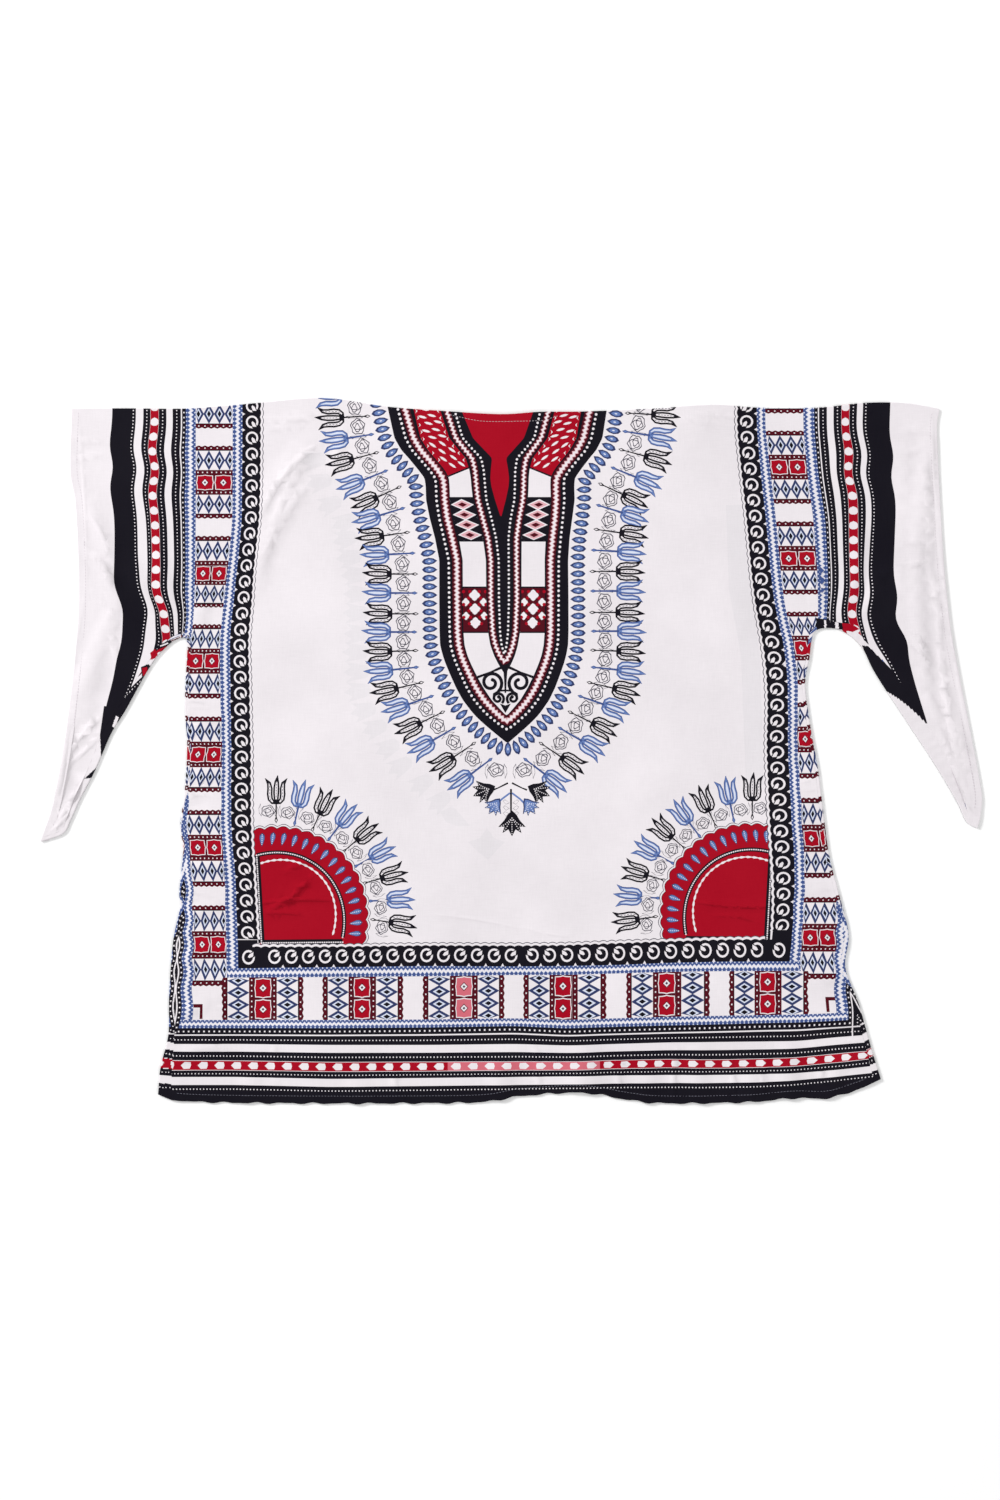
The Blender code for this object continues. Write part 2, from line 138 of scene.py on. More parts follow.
# Half widths of the neck's lines. Columns: down, outline, outer dots, outer zigzag, field outside,
# field inside, inner zigzag, inner dots, red middle
NECK = [
    (385, 113, 104, 97.5, 89, 64, 57.5, 50, 46),
    (409, 109.5, 99.7, 92.5, 84, 57.7, 51.5, 43.3, 36.7),
    (438, 104, 93, 85, 78, 49.2, 42.7, 35.8, 25.5),
    (450, 97.5, 87, 78.3, 71, 40, 33.5, 25.5, 14.5),
    (458, 90.5, 80, 71.5, 64.3, 33.5, 27, 18, 7),
    (470, 81, 70, 61.8, 54.5, 30, 24.5, 15.8, 8.7),
    (478, 75.2, 64.5, 56.7, 50.8, 29, 24, 15.3, 9.4),
    (486, 74.3, 63.9, 55.9, 50.4, 28.6, 23.6, 14.9, 8.7),
    (500, 74.3, 64, 55.8, 50.4, 27.5, 22.4, 14, 5.3),
    (518, 71.3, 61.8, 54, 47.7, 23.8, 18.3, 9.7, 0),
    (538, 67.3, 58.5, 50.3, 43.5, 19.4, 14.2, 6.2, 0),
    (560, 64.4, 55, 46.9, 41, 17.8, 12.8, 5, 0),
    (600, 64.6, 54.7, 46.9, 41, 17.6, 13, 5, 0),
    (632, 64.5, 54.4, 46.6, 40.6, 16, 11.4, 4, 0),
    (645, 64, 53.6, 45.6, 39.6, 13.8, 8.8, 2.5, 0),
    (655, 61.8, 51.4, 43.4, 37.2, 10.6, 5, 0, 0),
    (663, 59.4, 48.8, 40.6, 34.2, 7, 0, 0, 0),
    (675, 54.8, 44, 35.6, 28.8, 0, 0, 0, 0),
    (688, 49.4, 38.6, 29.6, 22, 0, 0, 0, 0),
    (700, 43.2, 31.8, 22, 14.4, 0, 0, 0, 0),
    (711, 35.2, 22.8, 12.2, 4.6, 0, 0, 0, 0),
    (716, 31, 17.6, 7, 0, 0, 0, 0, 0),
    (722, 25, 10.6, 0, 0, 0, 0, 0, 0),
    (730, 16, 0, 0, 0, 0, 0, 0, 0),
    (743.5, 0, 0, 0, 0, 0, 0, 0, 0),
]
OUTLINE, OUTER_DOTS, OUTER_BAND, FIELD_OUTSIDE, FIELD_INSIDE, INNER_BAND, INNER_DOTS, RED_MIDDLE = range(1, 9)

# Where the side borders and the neck begin, and where the bottom's rings and links turn round
BORDER_TOP = 385
BOTTOM_MIDDLE = 515
# Where the bottom's fields and links are faded
FADED_FIELDS = (440, 500)
FADED_LINKS = (452, 600)
BEAD_HALF = 0.62
# The fine rows of dots: spacing, half size
FINE_DOTS = (3.4, 0.55)

# The feet of the tulips. Columns: half width, down, degrees below the horizontal
FEET = [
    (129, 397, 0), (127.5, 416, 3), (124.3, 434, 9), (119.9, 452, 15), (111.5, 470, 22), (98.5, 486, 25),
    (95.6, 507.6, 17), (92, 532, 8), (88, 553, 3), (86, 574, 0), (86.5, 593, 0), (85.5, 613.8, 0),
    (87, 632, 0), (86, 650.4, 2), (86, 667, 6), (81.5, 682, 13), (72, 695.5, 19), (61.5, 711, 26),
    (51, 727, 30), (31.5, 742, 34), (15.5, 758, 37),
]

shapes = []


def paint(colour, points):
    shapes.append((colour, np.asarray(points, float)))


def spread(start, end, step):
    count = max(int(math.ceil(abs(end - start) / step)), 1)
    return np.linspace(start, end, count + 1)


def columns_at(wanted, known, table):
    """A table's columns at the wanted places, where known gives the place of each of its rows."""
    return np.stack([np.interp(wanted, known, column) for column in np.transpose(table)], -1)


def circle(count, radius):
    """The corners of a regular shape round zero."""
    angle = np.arange(count) * TAU / count
    return radius * np.stack([np.cos(angle), np.sin(angle)], -1)


# How the corners of the border tables are rounded off. Columns: shift along, share
ROUNDING = ((-9, 0.15), (-4.5, 0.2), (0, 0.3), (4.5, 0.2), (9, 0.15))


def blended(rows, place):
    """The table's columns at these places, with its corners rounded off."""
    table = np.array(rows, float)
    total = 0
    for shift, share in ROUNDING:
        total = total + share * columns_at(np.asarray(place, float) + shift, table[:, 0], table[:, 1:])
    return total


def on_border(side, across, along):
    """Places on a border: across is counted outwards from the ring band's inner edge."""
    across, along = np.broadcast_arrays(np.asarray(across, float), np.asarray(along, float))
    lines = blended(BORDERS[side], along)
    guides = np.array(GUIDES)
    step = np.clip(np.searchsorted(guides, across, side="right") - 1, 0, len(guides) - 2)
    share = (across - guides[step]) / (guides[step + 1] - guides[step])
    low = np.take_along_axis(lines, step[..., None], -1)[..., 0]
    high = np.take_along_axis(lines, step[..., None] + 1, -1)[..., 0]
    place = low + share * (high - low)
    pair = (along, place) if side == "bottom" else (place, along)
    return np.stack(pair, -1)


def band(side, colour, inner, outer, start, end, step=5.5):
    along = spread(start, end, step)
    one = on_border(side, inner, along)
    other = on_border(side, outer, along[::-1])
    paint(colour, np.vstack([one, other]))


def border_shape(side, colour, across, along):
    paint(colour, on_border(side, np.asarray(across), np.asarray(along)))


def border_box(side, colour, inner, outer, low, high):
    border_shape(side, colour, [inner, outer, outer, inner], [low, low, high, high])


def border_dots(side, colour, across, start, end, spacing, half):
    for along in np.arange(start + spacing / 2, end, spacing):
        border_box(side, colour, across - half, across + half, along - half, along + half)


ZIGZAG_PERIOD = 4.25


def border_zigzag(side, edges, start, end):
    """A blue band with a pale zigzag in its middle and pale dots along its edges."""
    inner, outer = edges
    middle, half = (inner + outer) / 2, (outer - inner) / 2
    band(side, "steel", inner, outer, start, end)
    along = np.arange(start, end, ZIGZAG_PERIOD / 2)
    swing = np.where(np.arange(len(along)) % 2, 1, -1) * half * 0.24
    for colour, reach in (("pale", half * 0.36), ("white", half * 0.2)):
        across = np.concatenate([middle + swing - reach, (middle + swing + reach)[::-1]])
        border_shape(side, colour, across, np.concatenate([along, along[::-1]]))
    for edge in (inner + half * 0.16, outer - half * 0.16):
        border_dots(side, "pale", edge, start, end, ZIGZAG_PERIOD, BEAD_HALF)


# The rings of the dark band, and the leaf in each. Columns: across, along
RING_RADIUS = 6.4
RING_LEAF = np.array([(-0.95, 1.0), (-0.1, 0.95), (0.2, 0.1), (0.0, -0.25), (-0.5, 0.1)]) * RING_RADIUS * 0.86


def ring(side, across, along, turn=1):
    """A white ring with a leaf in it. A turn of -1 sets the leaf the other way round."""
    middle = RING_LEAF.mean(axis=0)
    parts = [("white", circle(16, RING_RADIUS)), ("ink", circle(12, RING_RADIUS * 0.71))]
    for colour, grow in (("ink", 1.28), ("white", 0.82)):
        parts.append((colour, (middle + (RING_LEAF - middle) * grow) * (1, turn)))
    for colour, points in parts:
        border_shape(side, colour, across + points[:, 0], along + points[:, 1])


def scallops(side, colour, level, start, end, period, depth, outer):
    """A band whose inner edge runs in scallops."""
    along = np.arange(start, end + period / 6, period / 6)
    across = level - depth * np.abs(np.sin(np.pi * (along - start) / period))
    far = spread(end, start, 4)
    across = np.concatenate([across, np.full(len(far), outer)])
    border_shape(side, colour, across, np.concatenate([along, far]))


def ring_band(side, start, end, spacing, first, flip):
    """The dark band with its rings. Without a flip they turn at the middle of the bottom."""
    inner, outer = RING_BAND
    for colour, level, far in (("grey", -2.2, inner + 2), ("white", -1.5, inner + 2), ("ink", 0.6, outer)):
        scallops(side, colour, inner + level, start, end, spacing / 2, 1.2, far)
    for number in range(int((end - first) / spacing) + 1):
        along = first + number * spacing
        if not flip and along > BOTTOM_MIDDLE:
            along += 4 + 0.024 * (along - BOTTOM_MIDDLE)
        if start < along < end - 4:
            ring(side, (inner + outer) / 2 - 0.6, along, flip or (1 if along < BOTTOM_MIDDLE else -1))
            tip = along + spacing / 2
            border_shape(side, "white", [outer, outer - 2.8, outer], [tip - 1.7, tip, tip + 1.7])


def field_place(side, repeat):
    """Where a place in the print's repeat lies along the border. Whole numbers are field middles."""
    middles = FIELDS[side]
    return np.interp(repeat, np.arange(len(middles)), middles)


def ladder(side, first, last, start, end):
    """Fields of the ladder between these numbers. Even ones are white, odd ones red."""
    inner, outer = LADDER
    width = outer - inner
    band(side, "white", inner, outer, start, end)

    def beads(count, along):
        for share in np.arange(0.5, count) / count:
            border_dots(side, "white", inner + width * share, along - 1, along + 1, 2, BEAD_HALF)

    def diamond(colour, across, along, wide, tall):
        points = across + wide * np.array([-1, 0, 1, 0])
        border_shape(side, colour, np.clip(points, inner, outer), along + tall * np.array([0, 1, 0, -1]))

    def rung(low, high):
        """A dark red bar with a row of beads."""
        border_box(side, "wine", inner, outer, *sorted((low, high)))
        beads(8, (low + high) / 2)

    def scalloped_rung(low, high):
        """low is the edge at the diamonds and high the one at the white field."""
        way = 1 if high > low else -1
        across = inner + width * np.arange(0, 25) / 24
        wave = high + way * (0.4 + 1.3 * np.sin(np.pi * np.arange(0, 25) / 4) ** 2 - 1)
        border_shape(side, "wine", np.append(across, [outer, inner]), np.append(wave, [low, low]))
        border_box(side, "ink", inner, outer, low, low + way * 0.8)
        beads(6, low + way * 2.6)

    def diamonds(low, high):
        border_box(side, "white", inner, outer, low, high)
        middle, half = (low + high) / 2, (high - low) / 2
        cell = width / 3.5
        for number in range(-1, 5):
            centre = inner + width / 2 + (number - 1.5) * cell
            for colour, grow in (("navy", 1.05), ("pale", 0.6)):
                diamond(colour, centre, middle, cell / 2 * grow, half * grow)
            if inner + 2 < centre < outer - 2:
                diamond("ink", centre, middle, 1.9, 3.6)

    def red_field(low, high, colour):
        """Two wavy squares on dark red, each with a diamond in its middle."""
        border_box(side, "wine", inner, outer, low, high)
        middle, half = (low + high) / 2, (high - low) / 2
        angle = np.arange(24) * TAU / 24
        square = 1 / np.maximum(np.abs(np.cos(angle)), np.abs(np.sin(angle))) ** 0.7
        reach = (1 + 0.035 * np.cos(8 * angle)) * square
        for share in (0.25, 0.75):
            centre = inner + width * share
            for tint, wide, tall in (("white", 0.235, 0.96), (colour, 0.212, 0.87)):
                x = centre + width * wide * reach * np.cos(angle)
                y = middle + half * tall * reach * np.sin(angle)
                border_shape(side, tint, np.clip(x, inner, outer), np.clip(y, low, high))
            for tint, wide, tall in (("wine", 3.9, 4.3), ("white", 3.0, 3.4), ("grey", 1.3, 1.5)):
                diamond(tint, centre, middle, wide, tall)

    for number in range(first, last):
        near, far = field_place(side, [number, number + 1])
        white, red = (near, far) if number % 2 == 0 else (far, near)
        lines = white + (1 if red > white else -1) * (far - near) * np.array([0.2, 0.302, 0.725, 0.83])
        scalloped_rung(lines[1], lines[0])
        diamonds(*sorted((lines[1], lines[2])))
        rung(lines[2], lines[3])
    for number in range(first, last + 1):
        if number % 2:
            before, after = max(number - 1, first), min(number + 1, last)
            middle = field_place(side, number)
            gap = (field_place(side, after) - field_place(side, before)) / (after - before)
            faded = side == "bottom" and FADED_FIELDS[0] < middle < FADED_FIELDS[1]
            red_field(middle - 0.175 * gap, middle + 0.175 * gap, "pink" if faded else "red")


def stripe(side, edges, start, end):
    """A dark stripe with a fine row of white dots in its middle."""
    band(side, "ink", *edges, start, end)
    border_dots(side, "white", sum(edges) / 2, start, end, *FINE_DOTS)


# Links of the chains, in shares of the spacing and of the chain's half width. Columns: along, across
SLEEVE_LINK = [
    (-1.05, -0.1), (-0.7, 0.7), (-0.35, 0.95), (0.45, 1.0), (0.85, 0.72), (1.0, 0.3),
    (1.0, -0.3), (0.85, -0.72), (0.45, -1.0), (-0.35, -0.95), (-0.7, -0.7), (-1.05, 0.1),
]
SLEEVE_LINK_HALF = 0.275
BOTTOM_LINK = [(0.33, 0), (0.12, 0.8), (-0.23, 0.74), (-0.28, 0), (-0.23, -0.74), (0.12, -0.8)]


def chain(side, start, end, spacing, first):
    """A red band with white links. Those of the bottom point outwards and are faded in the middle."""
    middle, half = sum(CHAIN) / 2, (CHAIN[1] - CHAIN[0]) / 2
    half *= 0.9 if side == "bottom" else 0.95
    inner, outer = middle - half, middle + half
    band(side, "red", inner, outer, start, end)
    along = first
    while along < end:
        link = np.array(SLEEVE_LINK) * (SLEEVE_LINK_HALF, 1)
        if side == "bottom":
            link = np.array(BOTTOM_LINK) * (1 if along > BOTTOM_MIDDLE else -1, 1)
        if along > start:
            if side == "bottom" and FADED_LINKS[0] < along < FADED_LINKS[1]:
                border_box(side, "pink", inner, outer, along - spacing / 2, along + spacing / 2)
            border_shape(side, "white", middle + half * 0.97 * link[:, 1], along + spacing * link[:, 0])
        along += spacing


def corner_at(side, edge):
    """Where a line of a side border meets the same line of the bottom border: across, down."""
    across = float(on_border(side, edge, 1000)[0])
    return across, float(on_border("bottom", edge, across)[1])


def bottom_ends(edge):
    return corner_at("left", edge)[0], corner_at("right", edge)[0]


# The hook in the ladder's lower corners. Columns: inwards, down
CORNER_PIECE = [(0, -16), (9.5, -16), (9.5, -1), (6.5, -1), (6.5, -12.5), (0, -12.5)]
SLEEVE_LOW = 770
BOTTOM_SPAN = (140, 890)
BOTTOM_ZIGZAG_END = 73.0
# The ring bands of the sides. Columns: side, inward way, end of the rings, their spacing, start of the corner
RING_SIDES = [("left", 1, 939, 15.96, 940), ("right", -1, 930, 15.75, 930)]


def borders():
    for side, broad_end in (("left", 752), ("right", 728)):
        band(side, "ink", *BROAD_BAND, BORDER_TOP, broad_end)
        border_dots(side, "white", BROAD_BAND[0] + 2.6, BORDER_TOP, broad_end, *FINE_DOTS)
        stripe(side, THIRD_STRIPE, BORDER_TOP, SLEEVE_LOW)
        stripe(side, SECOND_STRIPE, BORDER_TOP, SLEEVE_LOW)
        chain(side, BORDER_TOP, SLEEVE_LOW, 14.8, 392)
        stripe(side, FIRST_STRIPE, BORDER_TOP, 1040)
    band("bottom", "white", PIPING[0], BROAD_BAND[1], *BOTTOM_SPAN)
    band("bottom", "ink", *BROAD_BAND, *BOTTOM_SPAN)
    border_dots("bottom", "white", BROAD_BAND[0] + 4.0, *BOTTOM_SPAN, *FINE_DOTS)
    for edges in (THIRD_STRIPE, SECOND_STRIPE, FIRST_STRIPE):
        stripe("bottom", edges, *BOTTOM_SPAN)
    chain("bottom", *BOTTOM_SPAN, 16.9, 152)
    for side in ("left", "right"):
        dots_end = corner_at(side, DOT_BAND[1])[1]
        band(side, "white", *PIPING, BORDER_TOP, 1037)
        band(side, "ink", *DOT_BAND, BORDER_TOP, dots_end)
        border_dots(side, "white", 77.4, BORDER_TOP, dots_end, 5, 0.7)
        ladder(side, 0, 14, BORDER_TOP, corner_at(side, LADDER[1])[1])
        border_zigzag(side, OUTER_ZIGZAG, BORDER_TOP, corner_at(side, DOT_BAND[0])[1])
        border_zigzag(side, INNER_ZIGZAG, BORDER_TOP, corner_at(side, LADDER[0])[1])
    left, right = bottom_ends(DOT_BAND[1])
    band("bottom", "ink", BOTTOM_ZIGZAG_END, DOT_BAND[1], left, right)
    border_dots("bottom", "white", 76.3, left, right, 5, 0.78)
    left, right = bottom_ends(LADDER[1])
    ladder("bottom", 0, 12, left + 31, right - 31)
    border_zigzag("bottom", (OUTER_ZIGZAG[0], BOTTOM_ZIGZAG_END), *bottom_ends(DOT_BAND[0]))
    border_zigzag("bottom", INNER_ZIGZAG, *bottom_ends(LADDER[0]))
    for side, way, ring_end, spacing, corner_start in RING_SIDES:
        ring_band(side, BORDER_TOP, ring_end, spacing, 390, 1)
        band(side, "ink", *RING_BAND, corner_start, corner_at(side, RING_BAND[1])[1])
        across, down = corner_at(side, LADDER[1])
        paint("wine", [(across + way * x, down + y) for x, y in CORNER_PIECE])
    left, right = bottom_ends(RING_BAND[0])
    far_left, far_right = bottom_ends(RING_BAND[1])
    ring_band("bottom", left - 6, right - 4, 16.9, left + 16, 0)
    band("bottom", "ink", *RING_BAND, far_left, left + 1)
    band("bottom", "ink", *RING_BAND, right - 6, far_right)
    ring("bottom", 9.0, (far_left + left) / 2)
    ring("bottom", 9.0, (far_right + right) / 2, -1)


def neck_middle(down):
    return np.interp(down, *np.array(MIDDLE, float).T)


def neck_line(column, way, down):
    table = np.array(NECK, float)
    half = np.interp(down, table[:, 0], table[:, column])
    return np.stack([neck_middle(down) + way * half, np.asarray(down, float)], -1)


def neck_path(column, step=3.0):
    """A line of the neck from its left top round its lowest point to its right top."""
    table = np.array(NECK, float)
    last = table[np.argmax(table[:, column] <= 0.01), 0]
    fine = np.arange(BORDER_TOP, last, 1.0)
    path = np.vstack([neck_line(column, -1, np.append(fine, last)), neck_line(column, 1, fine[::-1])])
    return resampled(smoothed(path, 5), step)


def smoothed(path, reach):
    """The line with its corners rounded. Its ends stay."""
    kernel = np.hanning(reach + 2)[1:-1]
    kernel /= kernel.sum()
    padded = np.vstack([path[:1]] * (reach // 2) + [path] + [path[-1:]] * (reach // 2))
    return np.stack([np.convolve(column, kernel, "valid") for column in padded.T], -1)


def lengths(path):
    return np.concatenate([[0], np.cumsum(np.linalg.norm(np.diff(path, axis=0), axis=1))])


def resampled(path, step):
    length = lengths(path)
    return columns_at(spread(0, length[-1], step), length, path)


def normals(path):
    run = np.gradient(path, axis=0)
    run /= np.linalg.norm(run, axis=1, keepdims=True) + 1e-9
    return np.stack([run[:, 1], -run[:, 0]], -1)


def ribbon(colour, path, inside, outside):
    """A band along a line. inside and outside are its edges' distances, one number or one for each point."""
    side = normals(path)
    one, other = (path + side * np.reshape(edge, (-1, 1)) for edge in (inside, outside))
    paint(colour, np.vstack([one, other[::-1]]))


def path_dots(colour, path, spacing, half_long, half_wide):
    points = resampled(path, spacing)
    for point, across in zip(points, normals(points)):
        along = np.array([-across[1], across[0]])
        corners = [(-1, -1), (1, -1), (1, 1), (-1, 1)]
        paint(colour, [point + along * half_long * a + across * half_wide * b for a, b in corners])


def round_dots(colour, path, spacing, radius):
    for point in resampled(path, spacing):
        paint(colour, point + circle(7, radius))


def wine_zigzag(path, half):
    points = resampled(path, 2.1)
    wave = np.where(np.arange(len(points)) % 2, 1.0, -1.0)
    bands = (("ink", 1, 0.9, 0), ("wine", 1, 0, 0.35), ("pinkish", 0.5, 0, 1.1), ("white", 0.3, 0, 0.9))
    for colour, share, more, swing in bands:
        ribbon(colour, points, -half * share - more + swing * wave, half * share + more + swing * wave)


def leaf(points, widths, colour):
    """A pointed shape along a line, with its half widths there."""
    points = np.asarray(points, float)
    side = normals(points)
    wide = np.asarray(widths, float)[:, None]
    paint(colour, np.vstack([points + side * wide, (points - side * wide)[::-1]]))


def turned(points, foot, direction):
    """Local points (across, outwards) set at a foot with a direction in radians."""
    points = np.asarray(points, float)
    out = np.array([math.cos(direction), math.sin(direction)])
    side = np.array([-out[1], out[0]])
    return np.asarray(foot) + points[:, :1] * side + points[:, 1:] * out


SIDE_PRONG = [(0, 27.4), (3.5, 28.2), (6.0, 31.2), (6.7, 36.4), (6.4, 42), (7.4, 47.5), (11.4, 52.6)]
SIDE_PRONG_WIDTHS = (1.5, 2.4, 2.8, 2.9, 2.8, 2.2, 0.2)
MIDDLE_PRONG = [(0, 27), (0, 31), (0, 37), (0.2, 43), (0.6, 49), (1.6, 55.8)]
MIDDLE_PRONG_WIDTHS = (1.2, 2.5, 3.1, 3.1, 2.4, 0.2)


def tulip(foot, direction, colour, size=1.0, short=0.0):
    """A tulip of three prongs with its stem, seen from the side. short is what its stem lacks."""
    def at(points):
        return turned(np.asarray(points, float) * size, foot, direction)

    blue = colour == "blue"
    edge, fill, thinner, stem = ("steel", "pale", 1.9, 0.75) if blue else ("ink", "white", 1.75, 0.5)
    other_side = [(-x, y) for x, y in SIDE_PRONG]
    prongs = [(at(np.array(points) - (0, short)), np.array(widths)) for points, widths in (
        (SIDE_PRONG, SIDE_PRONG_WIDTHS), (other_side, SIDE_PRONG_WIDTHS), (MIDDLE_PRONG, MIDDLE_PRONG_WIDTHS),
    )]
    for points, widths in prongs:
        leaf(points, widths * size, edge)
    if blue:
        for points, widths in prongs:
            leaf(points, np.maximum(widths - 0.9, 0.05) * size, "blue")
    for points, widths in prongs:
        leaf(points[1:-1], np.maximum(widths[1:-1] - thinner, 0.1) * size, fill)
        if not blue:
            path_dots("grey", resampled(points, size)[7:-7], 3.4 * size, 0.95 * size, 0.3 * size)
    leaf(at([(0, 4), (0, 28 - short)]), [stem * size, (stem + 0.3) * size], edge)
    paint(edge, at([(0, -0.5), (1.7, 2.6), (0.5, 6.5), (-0.5, 6.5), (-1.7, 2.6)]))
    if blue:
        paint("blue", at([(0, 0.8), (1.0, 2.7), (0, 5), (-1.0, 2.7)]))
    else:
        paint("white", at([(0, 0.9), (0.8, 2.6), (0, 4.2), (-0.8, 2.6)]))


def outline(points, weight):
    """A thin grey line round a white shape."""
    middle = points.mean(axis=0)
    reach = np.linalg.norm(points - middle, axis=1).mean()
    paint("grey", points)
    paint("white", middle + (points - middle) * (1 - weight / reach))


# A rose's leaf and its rings of petals. Columns: across, outwards, and: radius, lobes, depth of the lobes,
# turn, shift across, shift outwards
ROSE_LEAF = [(8.0, -6.5), (10.6, -2.5), (11.2, 3.4), (9.0, 9.2), (8.4, 3), (7.6, -2)]
ROSE_RINGS = [(8.2, 5, 0.12, 0.3, 0, 0), (5.8, 4, 0.18, 1.1, 0.5, -0.2), (3.4, 3, 0.25, 0.2, -0.4, 0.4)]


def rose(centre, direction, size=1.0):
    """A rose and two leaves in thin lines."""
    for side in (-1, 1):
        outline(turned(np.array(ROSE_LEAF) * (side, 1) * size, centre, direction), 0.8 * size)
    for radius, lobes, depth, turn, over, out in ROSE_RINGS:
        angle = np.arange(14) * TAU / 14
        reach = radius * (1 + depth * np.cos(lobes * angle + turn)) * size
        points = np.stack([over + reach * np.cos(angle), out + reach * 0.88 * np.sin(angle)], -1)
        outline(turned(points, centre, direction), 0.95 * size)


# The right half of a petal, in shares of its width and length. Columns: across, outwards
PETAL_HALF = [(0, -0.5), (0.36, -0.26), (0.5, 0.05), (0.36, 0.34), (0, 0.5)]
PETAL_SIZE = np.array([7.2, 15.6])


def with_mirror(half):
    """A closed shape from its right half, whose two ends lie on its axis."""
    return np.array(half + [(-x, y) for x, y in half[-2:0:-1]])


def petal(centre, direction):
    """An almond with a dark outline and a pale middle."""
    for colour, grow in (("navy", 1.0), ("blue", 0.64), ("pale", 0.2)):
        paint(colour, turned(with_mirror(PETAL_HALF) * PETAL_SIZE * grow, centre, direction))


# The back's print shows faintly through the white: its shift, a tulip's shade, the shades inside the border
SHOW_THROUGH_SHIFT = (-22, 20)
TULIP_SHADE = [(-6, 29), (-10, 50), (-5, 45), (0, 53), (5, 45), (10, 50), (6, 29), (0, 26)]
BORDER_SHADES = [
    [(726, 505), (741, 505), (760, 655), (764, 785), (746, 785), (741, 655), (729, 590)],
    [(468, 842), (480, 838), (487, 828), (494, 838), (505, 842), (497, 850), (488, 860), (477, 851)],
    [(440, 812), (452, 806), (461, 815), (470, 826), (456, 826), (446, 822)],
]
PETAL_MIDDLE = 9.6
PETAL_SPACING = 8.45


def petals():
    """The row of petals round the neck's outline, from its tip to both sides."""
    path = neck_path(OUTLINE, 1.0)
    side = normals(path)
    outward = -side if side[0, 0] > 0 else side
    row = resampled(smoothed(path + outward * PETAL_MIDDLE, 21), 1.0)
    length = lengths(row)
    across = normals(row)
    tip = length[np.argmax(row[:, 1])]
    for at in tip + PETAL_SPACING * np.arange(-60, 61):
        if 0 < at < length[-1]:
            point = columns_at(at, length, row)
            out = columns_at(at, length, across)
            if out[0] * (point[0] - row[:, 0].mean()) < 0:
                out = -out
            if abs(at - tip) < 1:
                out = [0, 1]
            petal(point, math.atan2(out[1], out[0]))


def neck():
    """Petals, tulips and roses round the dark ground of the neck, with its bands."""
    def mirrored(half, down, way):
        return np.array([neck_middle(down) + way * half, down])

    def outwards(degrees, way):
        return math.pi - math.radians(degrees) if way < 0 else math.radians(degrees)

    petals()
    for half, down, degrees in FEET:
        if down > 430:
            foot = mirrored(half, down, -1) + SHOW_THROUGH_SHIFT
            paint("ghost", turned(TULIP_SHADE, foot, outwards(degrees, -1)))
    for way in (-1, 1):
        for number, (half, down, degrees) in enumerate(FEET):
            shift = 0 if way < 0 else -3 * min(max((660 - down) / 100, 0), 1)
            foot = mirrored(half, down + shift, way)
            if number + 1 < len(FEET):
                half_next, down_next, degrees_next = FEET[number + 1]
                foot_next = mirrored(half_next, down_next + shift, way)
                between = outwards((degrees + degrees_next) / 2, way)
                out = np.array([math.cos(between), math.sin(between)])
                rose((foot + foot_next) / 2 + out * 14.5, between)
            tulip(foot, outwards(degrees, way), "black" if number % 2 else "blue")
    paint("ink", neck_path(OUTLINE))
    wine_zigzag(neck_path(OUTER_BAND, 1.0), 4.4)
    round_dots("white", neck_path(OUTER_DOTS, 1.0), 4.9, 1.4)
    paint("white", resampled(neck_path(FIELD_OUTSIDE, 1.0), 2.5))
    panels()
    paint("ink", resampled(neck_path(FIELD_INSIDE, 1.0), 2.5))
    wine_zigzag(neck_path(INNER_BAND, 1.0), 3.3)
    paint("ink", resampled(neck_path(INNER_DOTS, 1.0), 2.5))
    round_dots("white", neck_path(INNER_DOTS, 1.0), 4.3, 1.25)
    paint("red", resampled(neck_path(RED_MIDDLE, 1.0), 2.5))


def field_cell(way, top_out, low_out, top_in=None, low_in=None):
    """The outline of a part of the neck's field between two heights at its outside and inside."""
    top_in = top_out if top_in is None else top_in
    low_in = low_out if low_in is None else low_in
    outside = [neck_line(FIELD_OUTSIDE, way, y) for y in spread(top_out, low_out, 4)]
    inside = [neck_line(FIELD_INSIDE, way, y) for y in spread(low_in, top_in, 4)]
    return np.array(outside + inside)


def in_field(way, share, down):
    """A point of the field at a share of its width from outside to inside."""
    outside = neck_line(FIELD_OUTSIDE, way, down)
    inside = neck_line(FIELD_INSIDE, way, down)
    return outside + (inside - outside) * share


# The neck's fields from top to bottom, and the lines between them. Columns: top, end
RED_FIELD_TOP = 385
FIELD_LINES = ((497, 499), (540, 541.6), (586.5, 588.2), (631.5, 633))
DIAMOND_FIELD = (499, 540)
FLOWER_FIELD = (588, 631.5)
GRAIN = [(0, -4.6), (1.1, -2), (1.1, 2), (0, 4.6), (-1.1, 2), (-1.1, -2)]
SCROLL_MIDDLE = 505.4
# The roof over the scrolls and the drop under them. Columns: across, down
ROOF = [(477, 676), (490, 671.5), (505.4, 664), (505.4, 667.5), (490, 673.5), (478, 678.5)]
DROP = [(-5.5, 703.5), (0, 705.5), (5.5, 703.5), (3.0, 708), (0, 713), (-3.0, 708)]


